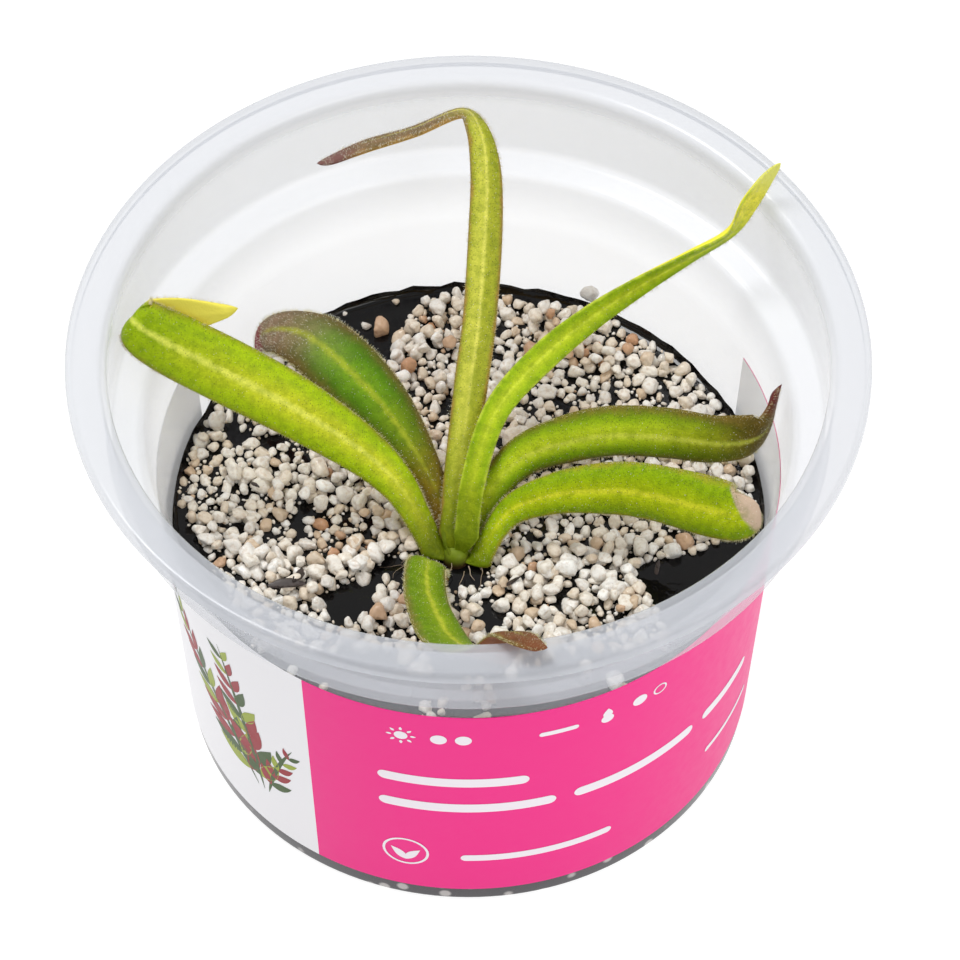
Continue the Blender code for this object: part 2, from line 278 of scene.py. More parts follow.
milky, tree, shader = new_material("milky_plastic")
mask, _ = uneven_on(tree, 9.0, 0.25)
height = height_in(tree)
edge_on = place(tree, "LayerWeight", {"Blend": 0.35}).outputs["Facing"]
shadow = place(tree, "LightPath").outputs["Is Shadow Ray"]
in_flange = ramped(tree, height, *FLANGE_Z)
haze = sums(tree, "ADD", ramped(tree, height, *HAZE_Z, *HAZE),
            sums(tree, "MULTIPLY", edge_on, EDGE_HAZE))
haze = sums(tree, "MULTIPLY_ADD", in_flange, FLANGE_HAZE, haze)
let_light = sums(tree, "SUBTRACT", 1.0, sums(tree, "MULTIPLY", shadow, SHADOW_CLEARED))
wall_tint = mixed(tree, mask, srgb(196, 199, 207), srgb(203, 206, 212))
feed(tree, shader, {
    "Base Color": mixed(tree, in_flange, wall_tint, srgb(199, 202, 208)),
    "Roughness": gloss(tree, mask, *PLASTIC_GLOSS),
    "Alpha": sums(tree, "MULTIPLY", haze, let_light), "IOR": PLASTIC_IOR})

foot, tree, shader = new_material("gel_behind_foot")
mask, _ = uneven_on(tree, 2.0, 0.6)
dark = mixed(tree, mask, srgb(46, 43, 48), srgb(58, 55, 60))
stones = ramped(tree, cells_of(tree, 3.2)["Distance"], 0.16, 0.30)
feed(tree, shader, {"Base Color": mixed(tree, stones, srgb(176, 172, 170), dark),
                    "Roughness": gloss(tree, mask, *PLASTIC_GLOSS), "IOR": PLASTIC_IOR})
print("materials", milky.name, foot.name)

# %% [markdown]
# A pressed cup is a turned shape, so its section is all it needs: up the outside, over the
# lip and down the inside. Corners are rounded because a mould can't be sharp, and those small
# rounds catch the bright lines that make the wall readable.

# %% Turn the cup
WALL = 0.8
SHELL_SIDES = 160


def rounded(corners, steps=5):
    """Rounds an outline. Each corner is a radius from the axis, a height and a rounding."""
    outline = []
    for index, (reach, z, rounding) in enumerate(corners):
        here = Vector((reach, z))
        if not rounding:
            outline.append(here)
            continue
        before = Vector(corners[index - 1][:2]) - here
        after = Vector(corners[index + 1][:2]) - here
        cut = rounding / math.tan(before.angle(after) / 2)
        cut = min(cut, 0.48 * before.length, 0.48 * after.length)
        start = here + before.normalized() * cut
        end = here + after.normalized() * cut
        for step in range(steps + 1):
            t = step / steps
            outline.append(start * (1 - t) ** 2 + here * 2 * t * (1 - t) + end * t * t)
    return outline


def turned(outline, sides):
    """Turns an outline about the cup's axis. Its two ends lie on the axis."""
    rings = outline[1:-1]
    points = [(0.0, 0.0, outline[0][1])]
    for reach, z in rings:
        for side in range(sides):
            angle = math.tau * side / sides
            points.append((reach * math.cos(angle), reach * math.sin(angle), z))
    points.append((0.0, 0.0, outline[-1][1]))
    faces = []
    for side in range(sides):
        beside = (side + 1) % sides
        faces.append((0, 1 + beside, 1 + side))
        for ring in range(len(rings) - 1):
            low = 1 + ring * sides
            faces.append((low + side, low + beside, low + sides + beside, low + sides + side))
        last = 1 + (len(rings) - 1) * sides
        faces.append((last + side, last + beside, len(points) - 1))
    return points, faces


def body_at(z):
    """Outer radius of the cup's tapering body at a height."""
    return BODY_R + TAPER * z


BODY_TOP = 46.0
LEDGE_R, LEDGE_Z = 41.7, 53.4
COLLAR_R = 45.6
LIP_DROP = 1.8
FOOT_BAND = 2.8
under = RIM_Z - WALL
section = [
    (0.0, 0.35, 0), (32.5, 0.35, 0.6), (33.6, 0.0, 0.6), (BODY_R, 0.0, 0.6),
    (body_at(FOOT_BAND), FOOT_BAND, 0),
    (body_at(BODY_TOP), BODY_TOP, 3.0), (LEDGE_R, LEDGE_Z - 0.6, 1.2),
    (COLLAR_R, LEDGE_Z, 1.3), (COLLAR_R, under, 1.1), (RIM_R - WALL, under, 0.25),
    (RIM_R - WALL, RIM_Z - LIP_DROP, 0.15), (RIM_R, RIM_Z - LIP_DROP, 0.25), (RIM_R, RIM_Z, 0.9),
    (COLLAR_R - WALL, RIM_Z, 1.5), (COLLAR_R - WALL, LEDGE_Z + WALL, 1.0),
    (LEDGE_R - WALL, LEDGE_Z, 1.2), (body_at(BODY_TOP) - WALL, BODY_TOP, 3.0),
    (body_at(FOOT_BAND) - WALL, FOOT_BAND, 0),
    (BODY_R - WALL + TAPER, WALL, 1.4), (0.0, WALL + 0.2, 0)]
points, faces = turned(rounded(section), SHELL_SIDES)
cup = make_piece("cup_shell", points, faces, [milky, foot], "cup_plastic", ["cup"])
for face in cup.data.polygons:
    face.material_index = int(face.center.z < FOOT_BAND * MM)

# %% [markdown]
# The label is a thin printed film on the body's cone. Places on it are given as on a flat
# strip: millimetres to the right of the front, and a height. Every mark is a thin mesh bent
# round the same cone, so it keeps sharp edges at any distance, which painted noise would not.

# %% Film and ink
LABEL_MID_R = body_at((LABEL_LOW + LABEL_HIGH) / 2)
FILM_LOW, FILM_HIGH = 0.06, 0.17
FILM_FOOT = LABEL_LOW + 0.35


def on_label(along, z, lift):
    """A place on the label: millimetres right of the front, a height and a lift off the cup."""
    angle = along / LABEL_MID_R - math.pi / 2
    reach = body_at(z) + lift
    return (reach * math.cos(angle), reach * math.sin(angle), z)


def ink(name, colour):
    """Satin printed film, a little uneven in tint and gloss."""
    material, tree, shader = new_material(name)
    mask, height = uneven_on(tree, 1.4, 0.6)
    dulled = mixed(tree, 0.93, (*(0.85 * part for part in colour[:3]), 1.0), colour)
    feed(tree, shader, {"Base Color": mixed(tree, mask, dulled, colour),
                        "Normal": bumped(tree, height, 0.04, 0.05), "Specular IOR Level": 0.2,
                        "Roughness": ramped(tree, mask, 0.2, 0.8, 0.32, 0.44)})
    return material


pink = ink("pink_ink", srgb(238, 28, 134))
white_film = ink("white_film", srgb(236, 235, 238))
white_ink = ink("white_ink", srgb(238, 232, 238))
film_back_glow = ink("film_back_glow", srgb(252, 252, 252))
# The film's back has a faint painted glow, which stands in for the light that real film lets
# through. It isn't sampled as a lamp, which would be noisy so near the wall.
film_back_glow.cycles.emission_sampling = "NONE"
feed(film_back_glow.node_tree, film_back_glow.node_tree.nodes["Principled BSDF"], {
    "Emission Color": (1, 1, 1, 1), "Emission Strength": 0.25})
red_ink = ink("red_ink", srgb(150, 22, 36))
green_ink = ink("green_ink", srgb(58, 84, 30))
lime_ink = ink("lime_ink", srgb(150, 164, 40))

# %% Wrap the two panels of the label
LABEL_HALF = 78.0
PANEL_EDGE = -20.9
PANEL_STEP, PANEL_ROWS = 1.2, 8


def panel(name, start, end, material):
    """A stretch of the film, closed all round. Its face is printed, its back white with a painted
    glow.
    """
    columns = round((end - start) / PANEL_STEP)
    heights = np.linspace(FILM_FOOT, LABEL_HIGH, PANEL_ROWS)
    section = [(z, FILM_HIGH) for z in heights] + [(z, FILM_LOW) for z in heights[::-1]]
    count = len(section)
    points = [on_label(along, z, lift) for along in np.linspace(start, end, columns + 1)
              for z, lift in section]
    faces = [tuple(range(count))]
    for column in range(columns):
        for corner in range(count):
            after = (corner + 1) % count
            here, beyond = column * count, (column + 1) * count
            faces.append((here + corner, beyond + corner, beyond + after, here + after))
    faces.append(tuple(reversed(range(columns * count, (columns + 1) * count))))
    piece = make_piece(name, points, faces, [material, film_back_glow], "label_film", ["label"], 30.0)
    for index, face in enumerate(piece.data.polygons[1:-1]):
        face.material_index = int(index % count >= len(heights))
    piece.data.polygons[0].material_index = piece.data.polygons[-1].material_index = 1


panel("label_white_panel", -LABEL_HALF, PANEL_EDGE, white_film)
panel("label_pink_panel", PANEL_EDGE, LABEL_HALF, pink)

# %% [markdown]
# The print is made up for this model: round-ended bars where a label has lines, a sun and a
# drop with level dots, a ring with a sprout, and on the white panel a spray of leaves. All of
# them come from one helper that bends a flat strip round the cone.

# %% Shapes of the print
MARK_LIFT = FILM_HIGH + 0.03
ROUND_STEPS, RING_STEPS, BLADE_STEPS = 6, 32, 12


def strip(outline):
    """A ribbon between two edges. Each entry is the two ends of one rung, as along, height."""
    points = [on_label(*end, MARK_LIFT) for rung in outline for end in rung]
    return points, [(low, low + 1, low + 3, low + 2) for low in range(0, len(points) - 2, 2)]


def bar(start, end, z, thick):
    """A bar with round ends."""
    half = thick / 2
    turns = [math.pi / 2 * step / ROUND_STEPS for step in range(ROUND_STEPS + 1)]
    rungs = [(start + half * (1 - math.cos(turn)), half * math.sin(turn)) for turn in turns]
    steps = round(end - start)
    rungs += [(start + half + (end - start - thick) * step / steps, half)
              for step in range(1, steps)]
    rungs += [(end - half * (1 - math.cos(turn)), half * math.sin(turn)) for turn in turns[::-1]]
    return strip([((x, z - tall), (x, z + tall)) for x, tall in rungs])


def ring_mark(along, z, outer, inner):
    """A ring, or a dot where the inner radius is nearly nothing."""
    middle = Vector((along, z))
    rungs = []
    for step in range(RING_STEPS + 1):
        angle = -math.tau * step / RING_STEPS
        way = Vector((math.cos(angle), math.sin(angle)))
        rungs.append((middle + way * inner, middle + way * outer))
    return strip(rungs)


def leaf_mark(along, z, bearing, length, width, bend=0.0):
    """A pointed leaf from its foot, in a direction in degrees, bending as it grows."""
    rungs = []
    spot = Vector((along, z))
    for step in range(BLADE_STEPS + 1):
        t = step / BLADE_STEPS
        angle = math.radians(bearing + bend * t)
        way = Vector((math.cos(angle), math.sin(angle)))
        wide = Vector((-way.y, way.x)) * (width / 2 * math.sin(math.pi * t ** 0.8) + 0.03)
        rungs.append((spot + wide, spot - wide))
        spot = spot + way * length / BLADE_STEPS
    return strip(rungs)


def print_marks(name, shapes, material):
    """Joins many marks of one ink in one piece."""
    make_piece(name, *joined(shapes), [material], "label_film")


# %% Print the marks
DOT_R, NO_HOLE = 1.02, 0.02
MARKS_Z = 38.8
SUN, SUN_R, RAYS_FROM = (-8.2, MARKS_Z), 0.85, 1.15
DROP = (17.4, 38.0)
SEAL, SEAL_R, SPROUT_DROP = (-8.2, 11.0), 3.1, 1.9
# Each line's start, end, height and thickness.
LINES = [(-11.4, 7.6, 28.8, 1.9), (-11.4, 11.2, 22.8, 1.9), (13.6, 32.0, 22.8, 1.9),
         (34.0, 45.0, 22.8, 1.9), (-1.0, 19.4, 10.6, 1.4), (36.0, 48.0, 12.6, 1.0),
         (8.6, 13.6, 38.6, 0.9)]
marks = [bar(*line) for line in LINES]
marks.append(ring_mark(*SUN, SUN_R, NO_HOLE))
for ray in range(8):
    turn = math.tau * ray / 8
    marks.append(leaf_mark(SUN[0] + RAYS_FROM * math.cos(turn), SUN[1] + RAYS_FROM * math.sin(turn),
                           math.degrees(turn), 0.7, 0.35))
marks += [ring_mark(along, MARKS_Z, DOT_R, NO_HOLE) for along in (-3.6, -0.6)]
marks += [ring_mark(*DROP, SUN_R, NO_HOLE), leaf_mark(DROP[0], DROP[1] + 0.2, 90, 2.0, 1.25)]
marks += [ring_mark(21.9, MARKS_Z, DOT_R, NO_HOLE), ring_mark(24.9, MARKS_Z, DOT_R, DOT_R - 0.24)]
marks.append(ring_mark(*SEAL, SEAL_R, SEAL_R - 0.35))
marks += [leaf_mark(SEAL[0], SEAL[1] - SPROUT_DROP, bearing, 3.2, 1.2, bend)
          for bearing, bend in ((118, 20), (62, -20))]
print_marks("label_marks", marks, white_ink)

# Each stem's foot, as along and height, then its lean, its length and how far it bends.
FRONDS = [(-30.5, 11.0, 118, 31, 22), (-29.4, 11.0, 100, 27, 8), (-28.6, 11.0, 78, 15, -16)]
spray = {"red": [], "green": [], "lime": []}
draw = random.Random(5)
for stem, (foot_along, foot_z, lean, tall, bend) in enumerate(FRONDS):
    spray["green"].append(leaf_mark(foot_along, foot_z, lean, tall, 0.7, bend))
    at = Vector((foot_along, foot_z))
    joints = round(tall / 2.6)
    for joint in range(1, joints):
        angle = math.radians(lean + bend * joint / joints)
        at = at + Vector((math.cos(angle), math.sin(angle))) * tall / joints
        for hand in (-1, 1):
            ink_name = ("red", "red", "lime", "green")[(joint + stem + (hand > 0)) % 4]
            size = min(7.0, 0.30 * tall) * (1 - 0.6 * joint / joints)
            bearing = math.degrees(angle) + hand * draw.uniform(38, 56)
            spray[ink_name].append(leaf_mark(*at, bearing, size, size * 0.36, -hand * 16))
for ink_name, material in (("red", red_ink), ("green", green_ink), ("lime", lime_ink)):
    print_marks("label_spray_" + ink_name, spray[ink_name], material)

# %% [markdown]
# The growing gel is black, wet and smooth. It creeps a little way up the wall, and that curved
# edge is what makes it read as liquid. Pale grains are mixed all through it, which show dimly
# where they lie against the wall.

# %% Black gel
gel, tree, shader = new_material("black_gel")
mask, height = uneven_on(tree, 5.0, 0.8)
stones = cells_of(tree, 2.6, 0.9)
near = ramped(tree, stones["Distance"], 0.48, 0.34)
tone = place(tree, "SeparateColor", {"Color": stones["Color"]}).outputs[0]
present = sums(tree, "MULTIPLY", near, ramped(tree, tone, 0.30, 0.42))
below = ramped(tree, height_in(tree), (GEL_TOP - 0.6) * MM, (GEL_TOP - 1.8) * MM)
pale = mixed(tree, tone, srgb(120, 112, 104), srgb(176, 170, 160))
black = mixed(tree, mask, srgb(8, 8, 9), srgb(18, 16, 16))
feed(tree, shader, {
    "Base Color": mixed(tree, sums(tree, "MULTIPLY", present, below), black, pale),
    "Roughness": gloss(tree, mask, 0.04, 0.12), "Normal": bumped(tree, height, 0.12, 0.8),
    "IOR": 1.35})
print("material", gel.name)

# %% Fill the cup with gel
GAP = 0.3
CREEP = 1.1
edge_r = body_at(GEL_TOP) - WALL - GAP
low_r, low_z = BODY_R - WALL, WALL + GAP + 0.1
outline = [(0.0, low_z), (low_r - 1.5, low_z), (low_r - 0.75, 1.8), (low_r - GAP, FOOT_BAND)]
outline += [(body_at(z) - WALL - GAP, z) for z in np.linspace(6.0, GEL_TOP - 1, 10)]
outline += [(edge_r + 0.15, GEL_TOP + CREEP * 0.2), (edge_r + 0.2, GEL_TOP + CREEP)]
for step in range(1, 9):
    t = step / 8
    outline.append((edge_r + 0.1 - 3.2 * t * t, GEL_TOP + (CREEP - 0.1) * (1 - t) ** 2.2))
outline += [(edge_r * share, GEL_TOP) for share in np.linspace(0.88, 0.04, 24)]
outline.append((0.0, GEL_TOP))
points, faces = turned([Vector(spot) for spot in outline], 128)
waved = []
for x, y, z in points:
    if z > GEL_TOP - 0.5 and math.hypot(x, y) < edge_r - 3:
        z += 0.35 * noise.noise(Vector((x * 0.16, y * 0.16, 3.0)))
    elif z > GEL_TOP + 0.1:
        z = GEL_TOP + (z - GEL_TOP) * (1.0 + 0.8 * noise.noise(Vector((x * 0.35, y * 0.35, 5.0))))
    waved.append((x, y, z))
make_piece("gel_pool", waved, faces, [gel], "dark_gel", ["growing_gel"], 40.0)

# %% [markdown]
# Perlite is a mix of pale chips, most of them 1 to 3 millimetres across, a few stained tan or
# brown. They are scattered by throwing darts: a new grain is kept only where it touches but
# doesn't swallow the ones that lie there. Bays and patches of gel stay bare, much as on the
# solid crust, and so does a band along the front wall. Each grain is its own mesh island, and
# the shader gives each island its own tone.

# %% Damp stone for the grains
STONE_TONES = [(0.0, (196, 148, 112)), (0.02, (212, 188, 160)), (0.09, (226, 212, 192)),
               (0.40, (242, 236, 225)), (0.72, (230, 225, 217)), (1.0, (250, 248, 243))]
stone, tree, shader = new_material("damp_perlite")
mask, height = uneven_on(tree, 0.55, 1.3)
island = place(tree, "NewGeometry").outputs["Random Per Island"]
zones = noise_of(tree, 11.0, 1.0)
fading = sums(tree, "POWER", island, ramped(tree, zones, 0.50, 0.70, 1.0, 1.7))
tones = tree.nodes.new("ShaderNodeValToRGB")
tree.links.new(fading, tones.inputs[0])
stops = tones.color_ramp.elements
for stop, (position, colour) in zip(stops, (STONE_TONES[0], STONE_TONES[-1])):
    stop.position, stop.color = position, srgb(*colour)
for position, colour in STONE_TONES[1:-1]:
    stops.new(position).color = srgb(*colour)
# Each grain's tone is darker in its pores.
pores = cells_of(tree, 0.42)["Distance"]
in_pore = ramped(tree, pores, 0.0, 0.22, 0.45, 0.0)
tones_dark_in_pores = mixed(tree, in_pore, tones.outputs[0], srgb(176, 158, 136))
shaded = mixed(tree, ramped(tree, mask, 0.25, 0.55, 0.35, 0.0), tones_dark_in_pores, srgb(186, 150, 112))
relief = sums(tree, "ADD", height, sums(tree, "MULTIPLY", pores, 0.5))
feed(tree, shader, {"Base Color": shaded, "Normal": bumped(tree, relief, 0.7, 0.16),
                    "Coat Weight": 0.15, "Roughness": ramped(tree, mask, 0.35, 0.65, 0.32, 0.62)})
print("material", stone.name)

# %% Where the grains may lie
CRUST_R, CRUST_WAVE, CRUST_OVER = 37.4, 0.5, 0.8
# Each bay's bearing, depth and half width. Each bare patch's place and radius.
CRUST_BAYS = [(115.0, 11.0, 11.0), (-23.0, 12.0, 13.0), (197.0, 2.0, 14.0), (75.0, 1.5, 7.0)]
BARE_PATCHES = [(-15.0, -14.5, 3.0), (-9.0, -9.5, 2.0)]
BARE_ROUND_CROWN = 4.4
BARE_RIM, BARE_RIM_FADE = 3.0, 14.0
FRONT_Y = -22.0
FRONT_BARE, CRUST_BARE = 0.30, -0.42  # gel stays bare where the blots lie below this


def blots(x, y, size, layer):
    """Soft noise over the crust, from about -1 to 1."""
    return noise.noise(Vector((x * size, y * size, layer)))


def crust_edge(angle):
    """Radius of the crust's wavy outer edge at a bearing in radians."""
    radius = CRUST_R + CRUST_WAVE * (math.sin(7 * angle) + 0.7 * math.sin(13 * angle + 1))
    for bearing, depth, half_width in CRUST_BAYS:
        away = (math.degrees(angle) - bearing + 180.0) % 360.0 - 180.0
        radius -= depth * math.exp(-((away / half_width) ** 2))
    return radius


def holds_grain(x, y, radius):
    """True where a grain of this radius lies on the crust and not on bare gel."""
    bare_rim = BARE_RIM * min(max(-y / BARE_RIM_FADE, 0.0), 1.0)
    reach = min(crust_edge(math.atan2(y, x)) + CRUST_OVER, edge_r) - radius - bare_rim
    if math.hypot(x, y) > reach:
        return False
    if math.hypot(x - CROWN.x, y - CROWN.y) < BARE_ROUND_CROWN + radius:
        return False
    if any(math.hypot(x - px, y - py) < r + radius * 0.7 for px, py, r in BARE_PATCHES):
        return False
    if y < FRONT_Y and blots(x, y, 0.24, 2.0) < FRONT_BARE:
        return False
    return blots(x, y, 0.21, 8.0) > CRUST_BARE


def scatter(draw, tries, radii, overlap):
    """Throws grains at the crust and keeps those that don't sink into their neighbours."""
    kept, cells = [], {}
    for _ in range(tries):
        largest = radii[1] if draw.random() < 0.6 else sum(radii) / 2
        radius = draw.uniform(radii[0], largest)
        reach, angle = edge_r * math.sqrt(draw.random()), draw.uniform(-math.pi, math.pi)
        x, y = reach * math.cos(angle), reach * math.sin(angle)
        if not holds_grain(x, y, radius):
            continue
        column, row = round(x / 3), round(y / 3)
        close = [spot for right in (-1, 0, 1) for up in (-1, 0, 1)
                 for spot in cells.get((column + right, row + up), ())]
        if all(math.hypot(x - ox, y - oy) > overlap * (radius + other) for ox, oy, other in close):
            kept.append((x, y, radius))
            cells.setdefault((column, row), []).append((x, y, radius))
    return kept


CLUMPS = [(-26.6, -8.2), (-15.0, -8.0), (-10.5, -16.5), (6.7, 11.5), (11.7, -8.2), (19.0, -15.0)]
CLUMP_GRAINS, CLUMP_R = 7, 2.4
LONE_GRAINS = [(-11.8, 30.6, 1.2), (-13.6, 31.4, 0.7), (-16.5, 33.7, 0.5), (-9.7, 35.6, 0.5),
               (16.2, 36.6, 1.1)]
draw = random.Random(21)
bed = scatter(draw, 60000, (0.60, 1.25), 0.88)
crumbs = scatter(draw, 9000, (0.22, 0.42), 1.1)
heap = [(x, y, radius) for x, y, radius in scatter(draw, 16000, (0.7, 1.3), 0.86)
        if blots(x, y, 0.13, 1.0) > 0.03]
for x, y in CLUMPS:
    heap += [(x + draw.uniform(-CLUMP_R, CLUMP_R), y + draw.uniform(-CLUMP_R, CLUMP_R),
              draw.uniform(0.8, 1.35)) for _ in range(CLUMP_GRAINS)]
bed += LONE_GRAINS
print(len(bed), "grains in the bed,", len(heap), "heaped on it,", len(crumbs), "crumbs")

# %% Shape the grains


def ball(level):
    """Points and triangles of a ball made from an icosahedron, split a number of times."""
    golden = (1 + math.sqrt(5)) / 2
    points = [Vector(p).normalized() for b in (golden, -golden) for a in (1, -1)
              for p in ((0, a, b), (a, b, 0), (b, 0, a))]
    reach = 2.1 / math.sqrt(1 + golden * golden)  # just over the length of one edge
    faces = [(i, j, k) for i in range(12) for j in range(i + 1, 12) for k in range(j + 1, 12)
             if max((points[i] - points[j]).length, (points[j] - points[k]).length,
                    (points[k] - points[i]).length) < reach]
    faces = [(i, j, k) if (points[j] - points[i]).cross(points[k] - points[i]).dot(points[i]) > 0
             else (i, k, j) for i, j, k in faces]
    for _ in range(level):
        middles, split = {}, []

        def middle(first, second):
            """Index of the point halfway between two points, made once."""
            pair = (min(first, second), max(first, second))
            if pair not in middles:
                middles[pair] = len(points)
                points.append((points[first] + points[second]).normalized())
            return middles[pair]

        for i, j, k in faces:
            ij, jk, ki = middle(i, j), middle(j, k), middle(k, i)
            split += [(i, ij, ki), (ij, j, jk), (ki, jk, k), (ij, jk, ki)]
        faces = split
    return np.array(points), np.array(faces)


CHIP_CUTS, CHIP_SHARPNESS = 9, 16
CHIP_KINDS = 24


def chip_shapes(level, count, seed):
    """A few angular chips, each a ball cut flat by random planes with softened edges."""
    points, faces = ball(level)
    draw = np.random.default_rng(seed)
    shapes = []
    for number in range(count):
        planes = draw.normal(size=(CHIP_CUTS, 3))
        planes /= np.linalg.norm(planes, axis=1)[:, None]
        depths = draw.uniform(0.62, 1.0, size=CHIP_CUTS)
        press = np.maximum(points @ planes.T, 0) / depths
        reach = (np.sum(press ** CHIP_SHARPNESS, axis=1) + 0.06) ** (-1 / CHIP_SHARPNESS)
        lumps = [1 + 0.13 * noise.noise(Vector(p) * 2.3 + Vector((seed, number * 3.1, 0)))
                 for p in points]
        shapes.append(points * (reach * np.array(lumps))[:, None])
    return shapes, faces


def lay_grains(name, grains, level, seed, floor_z=GEL_TOP, lift=0.45, replaced=("perlite",)):
    """Lays a turned and stretched copy of a chip at each place, in one mesh."""
    shapes, triangles = chip_shapes(level, CHIP_KINDS, seed)
    draw = random.Random(seed)
    clouds = []
    for x, y, radius in grains:
        turn = Euler([draw.uniform(0, math.tau) for _ in range(3)]).to_matrix()
        stretch = [draw.uniform(*ends) for ends in ((0.85, 1.3), (0.8, 1.1), (0.75, 1.0))]
        chip = shapes[draw.randrange(len(shapes))] * np.array(stretch) * radius
        cloud = chip @ np.array(turn).T
        cloud[:, 2] *= 0.88
        z = floor_z + radius * lift + draw.uniform(-0.25, 0.25)
        clouds.append(cloud + np.array([x, y, z]))
    count = len(shapes[0])
    faces = np.concatenate([triangles + count * number for number in range(len(clouds))])
    make_piece(name, np.concatenate(clouds), faces.tolist(), [stone], "perlite_stone",
               replaced, 180.0)


SMALL_GRAIN = 0.75
small = [spot for spot in bed if spot[2] < SMALL_GRAIN]
large = [spot for spot in bed if spot[2] >= SMALL_GRAIN]
half = len(large) // 2
lay_grains("perlite_bed_first", large[:half], 2, 3)
lay_grains("perlite_bed_rest", large[half:], 2, 5)
lay_grains("perlite_bed_small", small, 1, 6)
lay_grains("perlite_heap", heap, 2, 8, GEL_TOP + 1.1)
lay_grains("perlite_crumbs", crumbs, 1, 13, lift=0.5, replaced=())

# %% A few flakes of dark bark
FLAKES = [(-23.3, -13.0, 2.2), (-21.5, -11.6, 1.6), (-27.5, 3.0, 1.0), (5.6, -12.6, 1.1),
          (24.0, -10.5, 1.0)]
bark, tree, shader = new_material("dark_bark")
mask, _ = uneven_on(tree, 0.7, 1.4)
feed(tree, shader, {"Base Color": mixed(tree, mask, srgb(24, 20, 20), srgb(72, 58, 52)),
                    "Roughness": gloss(tree, mask, 0.2, 0.5)})
shapes, triangles = chip_shapes(2, len(FLAKES), 4)
flakes = []
for number, (x, y, size) in enumerate(FLAKES):
    turn = Euler((0.3, 0.2 * number, 1.1 * number)).to_matrix()
    flake = (shapes[number] * np.array([size, size * 0.3, 0.16])) @ np.array(turn).T
    flakes.append((flake + np.array([x, y, GEL_TOP + 2.2]), triangles.tolist()))
make_piece("bark_flakes", *joined(flakes), [bark], "dark_gel", (), 40.0)

# %% [markdown]
# A butterwort leaf is a thick, soft strap. It is swept along a smooth line: each row gives a
# place on its midrib, half its width there and its roll in degrees, the same rows as the
# solid's. Here the sweep is finer, with round margins, a groove over the midrib, a slight wave
# and a broader foot that reaches into the crown. The front leaf's foot starts a little lower.
# The mesh also carries how far along and across each point is, so that the shader can follow
# the leaf.

